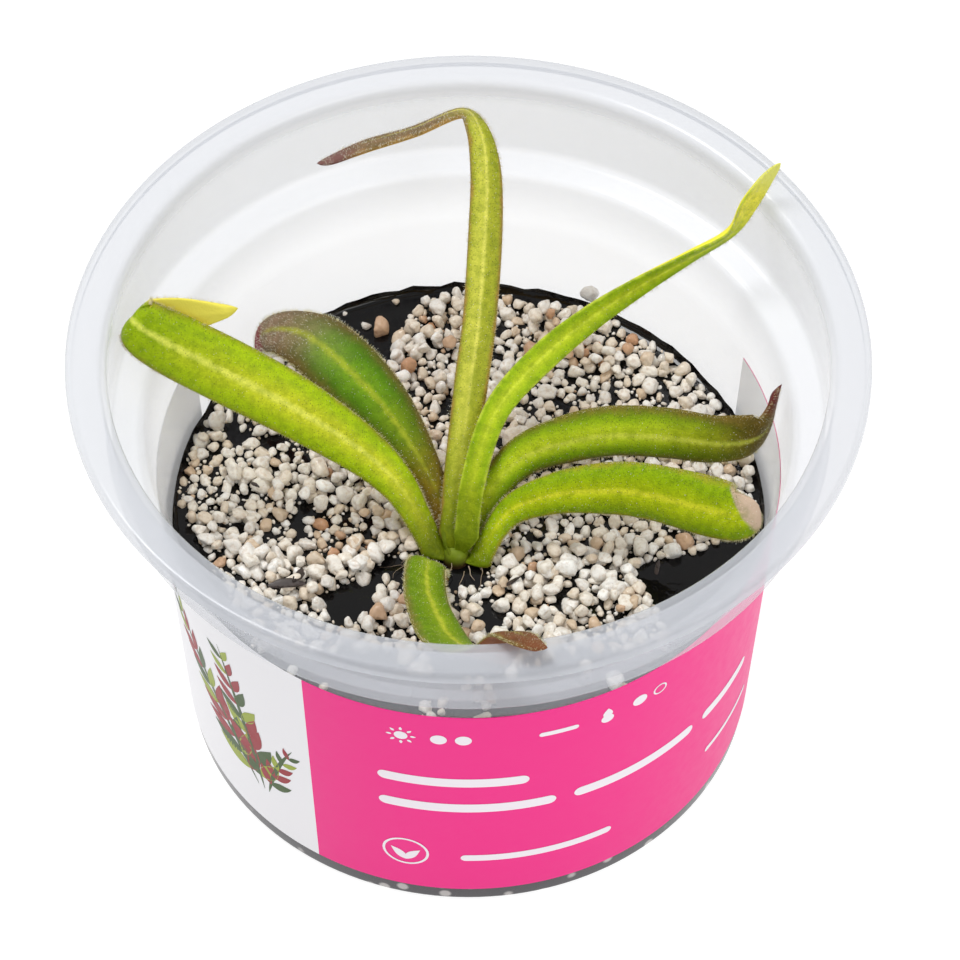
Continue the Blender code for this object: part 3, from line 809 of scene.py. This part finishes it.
# %% The lines of the seven leaves
LEAVES = {
    "leaf_left": {"arch": -0.10, "rows": [
        (-4.2, -7.2, 35.6, 1.0, 0), (-6.3, -4.7, 39.0, 1.7, -6), (-9.0, -2.3, 42.9, 2.4, -12),
        (-13.5, -0.3, 47.0, 3.1, -16), (-21.3, 1.6, 52.6, 3.9, -20), (-29.3, 3.2, 57.4, 4.2, -22),
        (-37.0, 4.9, 61.4, 4.1, -24), (-41.0, 6.2, 63.5, 3.6, -26), (-42.3, 8.0, 63.6, 3.2, -30),
        (-40.4, 9.7, 62.6, 3.1, -40), (-35.1, 9.7, 62.8, 2.6, -50), (-28.9, 9.0, 64.0, 0.5, -50)]},
    "leaf_left_back": {"arch": -0.16, "rows": [
        (-2.8, -5.0, 36.2, 0.9, 0), (-4.0, -1.1, 39.6, 1.5, 0), (-7.1, 2.9, 43.6, 2.8, 0),
        (-11.3, 7.8, 46.8, 3.9, 0), (-15.8, 12.3, 48.6, 4.4, 0), (-20.5, 17.1, 48.8, 4.2, 0),
        (-24.6, 20.3, 46.6, 3.3, -8), (-27.3, 21.4, 43.6, 2.3, -25),
        (-27.7, 20.6, 40.8, 0.6, -40)]},
    "leaf_back": {"arch": -0.12, "rows": [
        (-2.3, -6.2, 37.5, 0.8, 0), (-1.1, 0.1, 42.6, 1.9, 0), (0.2, 8.9, 49.0, 2.2, 0),
        (1.3, 15.5, 54.0, 2.2, 0), (2.1, 24.1, 60.6, 2.2, 5), (2.3, 30.6, 65.8, 2.0, 15),
        (1.4, 35.1, 69.0, 1.7, 40), (-1.0, 37.1, 70.2, 1.5, 70), (-7.2, 34.7, 69.3, 1.6, 72),
        (-13.5, 33.1, 68.2, 1.6, 68), (-19.4, 31.3, 66.3, 0.6, 65)]},
    "leaf_right_back": {"arch": 0.10, "rows": [
        (-0.3, -7.0, 37.9, 0.8, 0), (0.7, -1.5, 43.2, 1.4, 0), (3.6, 5.4, 48.2, 1.7, 3),
        (9.3, 11.4, 51.2, 1.9, 8), (15.6, 15.4, 54.4, 1.7, 22), (21.7, 18.2, 57.2, 1.5, 45),
        (28.2, 20.6, 60.0, 1.4, 72), (33.6, 22.6, 62.6, 1.4, 85), (36.0, 23.9, 67.5, 1.6, 70),
        (39.3, 25.4, 73.0, 0.4, 60)]},
    "leaf_right": {"arch": -0.12, "rows": [
        (0.8, -6.2, 36.1, 0.9, 0), (2.4, -2.1, 39.8, 1.8, 5), (6.4, 0.4, 44.1, 2.6, 12),
        (11.8, 0.1, 47.8, 3.3, 18), (18.1, -0.6, 50.4, 3.7, 20), (25.2, -1.7, 51.2, 3.8, 20),
        (31.1, -2.3, 50.9, 3.6, 20), (35.6, -1.7, 50.7, 3.5, 28), (38.0, 0.3, 51.2, 2.7, 42),
        (39.6, 4.6, 54.4, 0.4, 60)]},
    "leaf_right_front": {"arch": -0.12, "rows": [
        (1.2, -8.7, 35.3, 0.9, 0), (3.1, -6.4, 38.2, 1.4, 5), (5.8, -4.7, 40.8, 2.0, 10),
        (10.9, -4.9, 43.8, 2.7, 16), (16.6, -5.8, 45.7, 3.4, 20), (22.2, -7.7, 47.5, 3.8, 20),
        (29.5, -11.8, 49.7, 4.1, 20), (33.6, -13.8, 51.1, 3.5, 20), (36.1, -12.9, 52.1, 2.0, 20)]},
    "leaf_front": {"arch": -0.10, "sunk": 1.8, "rows": [
        (-4.2, -9.8, 35.0, 1.5, 0), (-4.7, -10.9, 38.2, 2.3, 0), (-5.1, -13.0, 40.4, 2.6, 0),
        (-5.2, -17.0, 42.2, 2.8, 0), (-4.6, -22.4, 44.9, 3.2, 0), (-2.3, -31.0, 49.4, 3.8, 0),
        (0.6, -38.2, 56.2, 3.5, 0), (2.8, -41.9, 61.6, 2.9, 0),
        (4.6, -43.0, 66.2, 2.3, 10), (6.6, -45.6, 69.1, 2.0, 20), (9.3, -47.4, 68.9, 0.6, 25)]},
}
print(len(LEAVES), "leaves")

# %% Sweep a leaf
LEAF_STEPS = 11
LEAF_ACROSS = 17
FOOT_STEPS = 6
MID_THICK, EDGE_THICK = 1.0, 0.62
GROOVE = 0.12
FOOT_SPREAD, SPREAD_ROWS = 0.85, 2
ROLL_DOWN = 0.12
WAVE = 0.07
TIP_ROUND = 1.6
CROWN_HEART = Vector((CROWN.x, CROWN.y - 0.4, GEL_TOP + 0.7))


def smooth_row(rows, place_on):
    """Reads a smooth curve through the rows. One whole step leads from row to row."""
    start = min(int(place_on), len(rows) - 2)
    t = place_on - start
    before, after = rows[max(start - 1, 0)], rows[min(start + 2, len(rows) - 1)]
    return [0.5 * (2 * b + (c - a) * t + (2 * a - 5 * b + 4 * c - d) * t * t
                   + (3 * b - a - 3 * c + d) * t ** 3)
            for a, b, c, d in zip(before, rows[start], rows[start + 1], after)]


def leaf_frames(rows, heart=None):
    """Stations along a leaf: place, half width, and the ways across and out of its face."""
    count = (len(rows) - 1) * LEAF_STEPS + 1
    stations = [smooth_row(rows, step / LEAF_STEPS) for step in range(count)]
    spots = [Vector(station[:3]) for station in stations]
    frames = []
    across = None
    for index, station in enumerate(stations):
        along = (spots[min(index + 1, count - 1)] - spots[max(index - 1, 0)]).normalized()
        if across is None:
            across = along.cross(Vector((0, 0, 1)))
        across = (across - along * across.dot(along)).normalized()
        rolled = Matrix.Rotation(math.radians(station[4]), 3, along) @ across
        to_tip = min((spots[index] - spots[-1]).length / TIP_ROUND, 1.0)
        half = max(station[3], 0.3) * max(math.sqrt(1 - (1 - to_tip) ** 2), 0.06)
        if heart is not None:
            half += FOOT_SPREAD * max(0.0, 1 - index / (SPREAD_ROWS * LEAF_STEPS)) ** 2
        frames.append((spots[index], half, rolled, rolled.cross(along), along))
    if heart is None:
        return frames
    spot, half, across, outward, along = frames[0]
    foot = []
    for step in range(FOOT_STEPS):
        t = step / FOOT_STEPS
        bend = heart * (1 - t) ** 2 + (spot - along * 1.2) * 2 * t * (1 - t) + spot * t * t
        foot.append((bend, half * (0.3 + 0.7 * t), across, outward, along))
    return foot + frames


def upper_rise(arch, half, side, along):
    """Height of the upper face over the leaf's own line, at a place from -1 to 1 across it."""
    groove = GROOVE * min(half / 2, 1.0) * math.exp(-(side / 0.17) ** 2)
    rolled = ROLL_DOWN * half * side ** 4 if arch < 0 else 0.0
    wave = WAVE * half * noise.noise(Vector((along * 8, side * 0.8, arch * 40))) * side * side
    return arch * half * side * side - groove - rolled + wave


def leaf_section(arch, half, along):
    """The closed section of a leaf: side, rise and whether the point is on the upper face."""
    sides = [math.sin(math.pi / 2 * (2 * k / (LEAF_ACROSS - 1) - 1)) for k in range(LEAF_ACROSS)]
    slim = min(1.0, half)
    section = []
    for side in sides + sides[-2:0:-1]:
        on_top = len(section) < LEAF_ACROSS
        thick = (MID_THICK - EDGE_THICK) * (1 - side * side) + EDGE_THICK
        eased = EDGE_THICK / 2 * (1 - math.sqrt(max(0.0, 1 - abs(side) ** 7)))
        rise = upper_rise(arch, half, side, along) - (eased if on_top else thick - eased) * slim
        section.append((side if on_top else side * 0.995, rise, float(on_top)))
    return section


def swept(rings):
    """Joins rings of equal size in a tube that is open at both ends."""
    size = len(rings[0])
    faces = []
    for index in range(len(rings) - 1):
        here, beyond = index * size, (index + 1) * size
        for corner in range(size):
            after = (corner + 1) % size
            faces.append((here + corner, here + after, beyond + after, beyond + corner))
    return [spot for ring in rings for spot in ring], faces


def build_leaf(name, leaf):
    """Sweeps the section along the leaf and stores where along and across each point is."""
    frames = leaf_frames(leaf["rows"], CROWN_HEART - Vector((0, 0, leaf.get("sunk", 0.0))))
    rings, tags = [], []
    last = len(frames) - 1
    for index, (spot, half, across, outward, _) in enumerate(frames):
        section = leaf_section(leaf["arch"], half, index / last)
        rings.append([spot + across * (side * half) + outward * rise for side, rise, _ in section])
        tags += [(index / last, side, upper) for side, _, upper in section]
    points, faces = swept(rings)
    size = len(rings[0])
    faces.append(tuple(reversed(range(size))))
    faces.append(tuple(last * size + corner for corner in range(size)))
    skin = leaf_material(name, LEAF_COLOURS[name])
    piece = make_piece(name + "_blade", points, faces, [skin], name + "_green", [name], 180.0)
    for column, label in enumerate(("along", "side", "upper")):
        layer = piece.data.attributes.new(label, "FLOAT", "POINT")
        layer.data.foreach_set("value", [tag[column] for tag in tags])
    return frames


# %% [markdown]
# Leaf colours all follow one plan. The blade runs from a light heart to green flesh and dull
# margins, has a pale midrib, and may blush or die back at its end. The light heart is painted
# light on the arched middle of the blade, and the dull margins are partly the leaf's own colour
# and partly painted shade where they roll down. Fine dark glands stipple it, most of all near
# the margins. The plan is one shader group, and each leaf gives it its own colours. The
# underside is smooth and plain, with a thin line along it.

# %% A shared group for leaf colour
PLAN_COLOURS = ("Foot", "Lit Heart", "Flesh", "End", "Tip", "Midrib", "Margin", "Under")
PLAN_NUMBERS = {"End From": 0.7, "End Over": 0.2, "Specks": 0.5, "Margin Width": 0.3, "Lean": 0.0,
                "End Slant": 0.0, "Foot Over": 0.26, "Tip From": 0.9}
leaf_group, given, gives = new_group(
    "leaf_plan",
    [(name, "Color", (0, 0, 0, 1)) for name in PLAN_COLOURS]
    + [(name, "Float", value) for name, value in PLAN_NUMBERS.items()],
    [("Color", "Color"), ("Gloss", "Float"), ("Height", "Float")])
want = given.outputs
maths, blend, ramp = (partial(helper, leaf_group) for helper in (sums, mixed, ramped))
along, side, upper = (place(leaf_group, "Attribute", attribute_name=label).outputs["Fac"]
                      for label in ("along", "side", "upper"))
mottle, clouds = noise_of(leaf_group, 1.1, 5.0), noise_of(leaf_group, 5.0)
cells, glands = cells_of(leaf_group, 0.26), cells_of(leaf_group, 0.25)
gland_tone = place(leaf_group, "SeparateColor", {"Color": glands["Color"]}).outputs[0]


def nudged(value, by, amount):
    """Shifts a value up and down by a noise, to break a clean border."""
    return maths("ADD", value, maths("MULTIPLY", maths("SUBTRACT", by, 0.5), amount))


# From the light heart, which is painted light, to green flesh, with the foot's own colour.
WHITE = (1, 1, 1, 1)
off_middle = maths("ABSOLUTE", side)
leaning = maths("ABSOLUTE", maths("SUBTRACT", side, want["Lean"]))
# The light heart is painted light on the arched middle of the blade, and Lean moves it across.
lit_heart_share = ramp(nudged(nudged(leaning, clouds, 0.5), mottle, 0.4), 0.05, 0.75, 1.0, 0.0)
body = blend(lit_heart_share, want["Flesh"], want["Lit Heart"])
foot_share = ramp(nudged(along, clouds, 0.12), 0.06, want["Foot Over"], 0.9, 0.0)
body = blend(foot_share, body, want["Foot"])

# The end, which may run slantwise, then the margins and the midrib.
end_to = maths("ADD", want["End From"], want["End Over"])
end_place = nudged(maths("MULTIPLY_ADD", side, want["End Slant"], along), clouds, 0.10)
body = blend(ramp(end_place, want["End From"], end_to), body, want["End"])
# The margins are partly the leaf's own colour and partly painted shade where they roll down.
margin_from = maths("SUBTRACT", 1.0, want["Margin Width"])
ragged = nudged(nudged(off_middle, mottle, 0.30), clouds, 0.35)
body = blend(ramp(ragged, margin_from, 1.05, 0.0, 0.9), body, want["Margin"])
rib_edge = maths("MULTIPLY_ADD", mottle, 0.28, 0.05)
rib_reach = maths("MULTIPLY", ramp(along, 0.72, 0.96, 1.0, 0.0), ramp(along, 0.10, 0.34))
rib_share = maths("MULTIPLY", ramp(off_middle, 0.0, rib_edge, 0.6, 0.0), rib_reach)
body = blend(rib_share, body, want["Midrib"])

# Mottling, dark glands that thicken outwards, and a fine net of cells.
body = blend(1.0, body, blend(ramp(mottle, 0.34, 0.62, 0.6, 0.0), WHITE, (0.55, 0.62, 0.45, 1)),
             "MULTIPLY")
gland_share = maths("MULTIPLY", want["Specks"],
                    ramp(nudged(off_middle, clouds, 0.8), 0.05, 0.9, 0.25, 1.0))
gland_share = maths("MULTIPLY", gland_share, ramp(along, 0.12, 0.34))
speck_share = maths("MULTIPLY", ramp(glands["Distance"], 0.12, 0.40, 0.62, 0.0),
                    maths("LESS_THAN", gland_tone, gland_share))
body = blend(speck_share, body, srgb(62, 52, 30))
net = blend(ramp(cells["Distance"], 0.25, 0.60), WHITE, (0.86, 0.89, 0.80, 1))
body = blend(1.0, body, net, "MULTIPLY")

# The very tip, the shade among the leaves' feet, and the underside.
tip_to = maths("ADD", want["Tip From"], 0.055)
tip_share = ramp(nudged(along, mottle, 0.04), want["Tip From"], tip_to)
body = blend(tip_share, body, want["Tip"])
in_crown = blend(ramp(along, 0.04, 0.15, 0.75, 0.0), WHITE, (0.40, 0.46, 0.30, 1))
body = blend(1.0, body, in_crown, "MULTIPLY")
under = blend(ramp(off_middle, 0.02, 0.07, 0.5, 0.0), want["Under"], want["Margin"])
under = blend(tip_share, under, want["Tip"])
relief = maths("ADD", maths("MULTIPLY", cells["Distance"], 0.7), mottle)
feed(leaf_group, gives, {"Color": blend(upper, under, body), "Height": relief,
                         "Gloss": ramp(mottle, 0.3, 0.7, 0.42, 0.58)})
print("group", leaf_group.name)

# %% The colours of each leaf
LEAF_COLOURS = {
    "leaf_left": {
        "Foot": (142, 152, 18), "Lit Heart": (226, 228, 50), "Flesh": (180, 207, 17),
        "End": (158, 184, 12), "Tip": (240, 228, 92), "Midrib": (255, 254, 118),
        "Margin": (154, 151, 42), "Under": (239, 231, 80), "End From": 0.4, "End Over": 0.24,
        "Specks": 0.55, "Margin Width": 0.22, "Tip From": 0.77},
    "leaf_left_back": {
        "Foot": (140, 89, 22), "Lit Heart": (118, 157, 16), "Flesh": (80, 127, 11),
        "End": (142, 116, 96), "Tip": (126, 32, 54), "Midrib": (187, 192, 53),
        "Margin": (111, 87, 46), "Under": (158, 63, 29), "End From": 0.52, "End Over": 0.26,
        "Specks": 0.7, "Margin Width": 0.52, "Foot Over": 0.46, "Tip From": 0.85},
    "leaf_back": {
        "Foot": (150, 160, 14), "Lit Heart": (210, 210, 80), "Flesh": (174, 178, 50),
        "End": (138, 111, 83), "Tip": (120, 84, 78), "Midrib": (255, 247, 122),
        "Margin": (178, 136, 74), "Under": (206, 167, 87), "End From": 0.62, "End Over": 0.16,
        "Specks": 0.95, "Margin Width": 0.28, "Lean": -0.35},
    "leaf_right_back": {
        "Foot": (146, 160, 18), "Lit Heart": (196, 212, 40), "Flesh": (158, 188, 20),
        "End": (255, 245, 87), "Tip": (226, 226, 112), "Midrib": (229, 241, 77),
        "Margin": (203, 216, 70), "Under": (249, 238, 72), "End From": 0.74, "End Over": 0.14,
        "Specks": 0.12, "Margin Width": 0.22},
    "leaf_right": {
        "Foot": (138, 154, 16), "Lit Heart": (212, 230, 44), "Flesh": (136, 174, 14),
        "End": (98, 80, 16), "Tip": (98, 44, 40), "Midrib": (236, 240, 96),
        "Margin": (122, 98, 40), "Under": (142, 104, 52), "End From": 0.48, "End Over": 0.36,
        "Specks": 0.95, "Margin Width": 0.42, "Lean": -0.1},
    "leaf_right_front": {
        "Foot": (146, 162, 14), "Lit Heart": (192, 206, 18), "Flesh": (150, 180, 6),
        "End": (210, 184, 160), "Tip": (210, 184, 160), "Midrib": (242, 236, 64),
        "Margin": (166, 153, 41), "Under": (192, 186, 50), "End From": 0.875, "End Over": 0.02,
        "Specks": 0.75, "Margin Width": 0.22, "Lean": 0.05, "End Slant": -0.045},
    "leaf_front": {
        "Foot": (140, 158, 34), "Lit Heart": (148, 172, 36), "Flesh": (116, 148, 22),
        "End": (126, 78, 51), "Tip": (126, 78, 51), "Midrib": (224, 221, 76),
        "Margin": (140, 122, 63), "Under": (140, 85, 49), "End From": 0.74, "End Over": 0.05,
        "Specks": 0.5, "Margin Width": 0.28},
}


def leaf_material(name, plan):
    """Living leaf: its colours from the plan, with the dull velvet gloss of its fine hairs."""
    material, tree, shader = new_material(name + "_skin")
    own = {label: srgb(*value) if label in PLAN_COLOURS else value for label, value in plan.items()}
    made = use_group(tree, leaf_group, own).outputs
    feed(tree, shader, {
        "Base Color": made["Color"], "Roughness": made["Gloss"], "Specular IOR Level": 0.12,
        "Normal": bumped(tree, made["Height"], 0.55, 0.12)})
    return material


stations = {name: build_leaf(name, leaf) for name, leaf in LEAVES.items()}

# %% [markdown]
# Butterworts catch gnats with short glandular hairs, many of them with a droplet. They are
# far smaller than a millimetre, yet together they give the leaf its frosted outline. Every
# hair is a three-sided spike, and its droplet a bead of eight faces, which keeps counts low.

# %% Hair and dew
hair, tree, shader = new_material("leaf_hair")
feed(tree, shader, {
    "Base Color": mixed(tree, noise_of(tree, 4.0), srgb(206, 208, 140), srgb(214, 192, 160)),
    "Roughness": 0.4})
dew, tree, shader = new_material("leaf_dew")
patchy = noise_of(tree, 3.0)
feed(tree, shader, {"Base Color": mixed(tree, patchy, srgb(235, 240, 230), srgb(250, 250, 250)),
                    "Roughness": gloss(tree, patchy, 0.05, 0.15), "IOR": 1.38})
BEAD = np.array([(1, 0, 0), (-1, 0, 0), (0, 1, 0), (0, -1, 0), (0, 0, 1), (0, 0, -1)], dtype=float)
BEAD_FACES = [(0, 2, 4), (2, 1, 4), (1, 3, 4), (3, 0, 4),
              (2, 0, 5), (1, 2, 5), (3, 1, 5), (0, 3, 5)]
SPIKE_FACES = [(0, 1, 3), (1, 2, 3), (2, 0, 3)]
AT_MARGIN = 0.94
MARGIN_HAIR_R, FACE_HAIR_R = 0.030, 0.018
# How many hairs each leaf has, the share of them with a bead, and where its wet end starts.
HAIRS = {"leaf_left": (3200, 0.12, 1.0), "leaf_left_back": (3400, 0.3, 0.62),
         "leaf_back": (3400, 0.2, 0.74), "leaf_right_back": (1500, 0.08, 1.0),
         "leaf_right": (2800, 0.15, 1.0), "leaf_right_front": (2800, 0.15, 1.0),
         "leaf_front": (2400, 0.12, 1.0)}


def grow_hairs(name, frames, seed):
    """Grows short hairs on the upper face and longer ones at the margins, some with a bead."""
    arch = LEAVES[name]["arch"]
    count, dewy, wet_from = HAIRS[name]
    draw = random.Random(seed)
    spikes, beads = [], []
    for _ in range(count):
        t = draw.uniform(0.07, 0.985)
        exact = t * (len(frames) - 1)
        spot, half, across, outward, along = frames[int(exact)]
        beyond = frames[min(int(exact) + 1, len(frames) - 1)]
        spot = spot.lerp(beyond[0], exact - int(exact))
        half += (beyond[1] - half) * (exact - int(exact))
        if draw.random() < 0.45:
            side = draw.choice((-1, 1)) * draw.uniform(AT_MARGIN, 1.0)
            lean, lengths, wide = side * draw.uniform(0.5, 2.2), (0.22, 0.55), MARGIN_HAIR_R
        else:
            side = draw.uniform(-AT_MARGIN, AT_MARGIN)
            lean, lengths, wide = draw.uniform(-0.3, 0.3), (0.14, 0.30), FACE_HAIR_R
        sunk = 0.05 + EDGE_THICK / 2 * abs(side) ** 30
        root = spot + across * side * half + outward * (upper_rise(arch, half, side, t) - sunk)
        way = (outward + across * lean + along * draw.uniform(-0.35, 0.35)).normalized()
        tip = root + way * draw.uniform(*lengths)
        wide = way.orthogonal().normalized() * wide
        spikes.append(([root + Matrix.Rotation(math.tau * third / 3, 3, way) @ wide
                        for third in range(3)] + [tip], SPIKE_FACES))
        if draw.random() < (0.95 if t > wet_from else dewy):
            beads.append((BEAD * draw.uniform(0.025, 0.055) + np.array(tip), BEAD_FACES))
    make_piece(name + "_hairs", *joined(spikes), [hair], name + "_green", (), 180.0)
    make_piece(name + "_dew", *joined(beads), [dew], name + "_green", (), 180.0)


for number, name in enumerate(LEAVES):
    grow_hairs(name, stations[name], 40 + number)

# %% [markdown]
# The leaves meet in a short crown just over the gel. It is a stubby stem with a few small new
# leaves standing up in its middle, and fine roots lie round it.

# %% Crown and new leaves
stem, tree, shader = new_material("crown_skin")
mask, height = uneven_on(tree, 0.9, 1.4)
fresh = mixed(tree, mask, srgb(96, 116, 20), srgb(128, 142, 34))
low_share = ramped(tree, height_in(tree), (GEL_TOP + 0.3) * MM, (GEL_TOP + 1.8) * MM, 1.0, 0.0)
feed(tree, shader, {"Base Color": mixed(tree, low_share, fresh, srgb(60, 40, 24)),
                    "Normal": bumped(tree, height, 0.4, 0.2), "Specular IOR Level": 0.15,
                    "Roughness": gloss(tree, mask, 0.35, 0.6)})

DOME_STEPS = 11
CROWN_SLIM, CROWN_LOW = 0.98, 0.75
crown_r = (crown_high.x - crown_low.x) / 2
outline = [Vector((0, crown_low.z)), Vector((crown_r * 0.7, crown_low.z))]
outline += [Vector((crown_r, z)) for z in np.linspace(crown_low.z + 1.5, GEL_TOP, 6)]
for step in range(1, DOME_STEPS):
    angle = math.pi / 2 * step / DOME_STEPS
    outline.append(Vector((crown_r * math.cos(angle) ** 0.7,
                           GEL_TOP + (crown_high.z - GEL_TOP) * math.sin(angle))))
outline.append(Vector((0, crown_high.z)))
points, faces = turned(outline, 28)
knobbed = []
for x, y, z in points:
    girth = CROWN_SLIM * (1 + 0.08 * noise.noise(Vector((x, y, z)) * 0.9) * (z > GEL_TOP))
    z -= (1 - CROWN_LOW) * max(z - GEL_TOP, 0)
    knobbed.append((CROWN.x + x * girth, CROWN.y + y * girth, z))
make_piece("crown_stem", knobbed, faces, [stem], "crown_green", ["crown"], 60.0)

# Each new leaf's lean to the right and to the back, its height and half its width.
NEW_LEAVES = [(-1.6, 1.2, 3.4, 0.9), (-0.5, 0.9, 2.6, 0.8), (-1.2, -0.4, 2.2, 0.8)]
sprouts = []
for lean_x, lean_y, tall, wide in NEW_LEAVES:
    rows = [(CROWN.x + lean_x * share, CROWN.y + lean_y * share, GEL_TOP + 0.9 + tall * share,
             wide * (0.6 + 1.2 * share * (1 - share)) * (1 - 0.5 * share), 0)
            for share in (0.05, 0.35, 0.7, 1.0)]
    sprouts.append(swept([[spot + across * (side * half) + outward * rise
                           for side, rise, _ in leaf_section(-0.5, half, 0.0)]
                          for spot, half, across, outward, _ in leaf_frames(rows)]))
make_piece("new_leaves", *joined(sprouts), [stem], "crown_green", (), 180.0)

# %% Fine roots
root_skin, tree, shader = new_material("root_skin")
mask, _ = uneven_on(tree, 1.2, 1.5)
feed(tree, shader, {"Base Color": mixed(tree, mask, srgb(90, 62, 42), srgb(190, 172, 148)),
                    "Roughness": 0.5})


def thread(start, bearing, length, thick, draw):
    """A fine root that wanders over the gel, as a three-sided tube."""
    points, faces = [], []
    here = Vector(start)
    steps = max(4, round(length / 0.7))
    for step in range(steps + 1):
        way = Vector((math.cos(bearing), math.sin(bearing), 0))
        wide = way.cross(Vector((0, 0, 1)))
        girth = thick * (1 - 0.7 * step / steps)
        for third in range(3):
            angle = math.tau * third / 3
            points.append(here + wide * girth * math.cos(angle)
                          + Vector((0, 0, girth * math.sin(angle))))
        bearing += draw.uniform(-0.45, 0.45)
        here = here + way * length / steps
        here.z = max(here.z + draw.uniform(-0.22, 0.2), GEL_TOP + 0.1)
    for step in range(steps):
        for third in range(3):
            after, low = (third + 1) % 3, step * 3
            faces.append((low + third, low + 3 + third, low + 3 + after, low + after))
    return points, faces


ROOTS = 34
draw = random.Random(9)
roots = []
for _ in range(ROOTS):
    bearing, out = draw.uniform(0, math.tau), draw.uniform(1.6, 4.5)
    start = (CROWN.x + out * math.cos(bearing), CROWN.y + out * math.sin(bearing),
             GEL_TOP + draw.uniform(0.3, 1.4))
    roots.append(thread(start, bearing + draw.uniform(-0.9, 0.9), draw.uniform(2, 7),
                        draw.uniform(0.05, 0.11), draw))
make_piece("root_threads", *joined(roots), [root_skin], "crown_green")

# %% [markdown]
# The stage is a pale floor that glows like a light table, under soft studio light. The floor
# is too wide to be worth sampling as a lamp. The camera looks down at the cup as in the photo.

# %% Floor, light and camera
FLOOR_HALF, FLOOR_Z = 1.5, -0.0002
floor_mesh = bpy.data.meshes.new("floor")
floor_mesh.from_pydata([(x * FLOOR_HALF, y * FLOOR_HALF, FLOOR_Z)
                        for x, y in ((-1, -1), (1, -1), (1, 1), (-1, 1))], [], [(0, 1, 2, 3)])
floor_paint, tree, shader = new_material("floor_paint")
feed(tree, shader, {"Base Color": (0.3, 0.3, 0.3, 1), "Roughness": 0.9, "Specular IOR Level": 0.1,
                    "Emission Color": (1, 1, 1, 1), "Emission Strength": 0.86})
floor_paint.cycles.emission_sampling = "NONE"
floor_mesh.materials.append(floor_paint)
floor = bpy.data.objects.new("floor", floor_mesh)
bpy.context.scene.collection.objects.link(floor)

world = bpy.data.worlds.new("studio")
world.use_nodes = True
feed(world.node_tree, world.node_tree.nodes["Background"], {"Color": WHITE, "Strength": 0.58})
bpy.context.scene.world = world
bpy.context.scene.view_settings.view_transform = "Standard"
CUP_MIDDLE = Vector((0, 0, 0.04))


def soft_light(name, spot, size, power):
    """A square soft box that faces the cup."""
    data = bpy.data.lights.new(name, "AREA")
    data.energy = power
    data.size = size
    lamp = bpy.data.objects.new(name, data)
    lamp.location = spot
    lamp.rotation_euler = (CUP_MIDDLE - Vector(spot)).to_track_quat("-Z", "Y").to_euler()
    bpy.context.scene.collection.objects.link(lamp)


soft_light("key", (-0.30, 0.20, 0.80), 0.28, 3.9)
soft_light("fill", (0.45, -0.45, 0.60), 0.40, 1.8)

# The camera's fit to the photo: its angles, its place in metres and its lens.
PITCH, YAW, ROLL = (math.radians(angle) for angle in (51.762, 0.213, 0.199))
CAMERA_SPOT = (0, -0.39582, 0.54296)
ahead = Vector((math.sin(YAW) * math.cos(PITCH), math.cos(YAW) * math.cos(PITCH), -math.sin(PITCH)))
level = Vector((math.cos(YAW), -math.sin(YAW), 0))
upward = level.cross(ahead)
right = level * math.cos(ROLL) + upward * math.sin(ROLL)
top = upward * math.cos(ROLL) - level * math.sin(ROLL)
lens = bpy.data.cameras.new("camera")
lens.lens = 187.5
lens.sensor_width = 36
camera = bpy.data.objects.new("camera", lens)
camera.matrix_world = Matrix.Translation(CAMERA_SPOT) @ Matrix(
    (right, top, -ahead)).transposed().to_4x4()
bpy.context.scene.collection.objects.link(camera)
bpy.context.scene.camera = camera
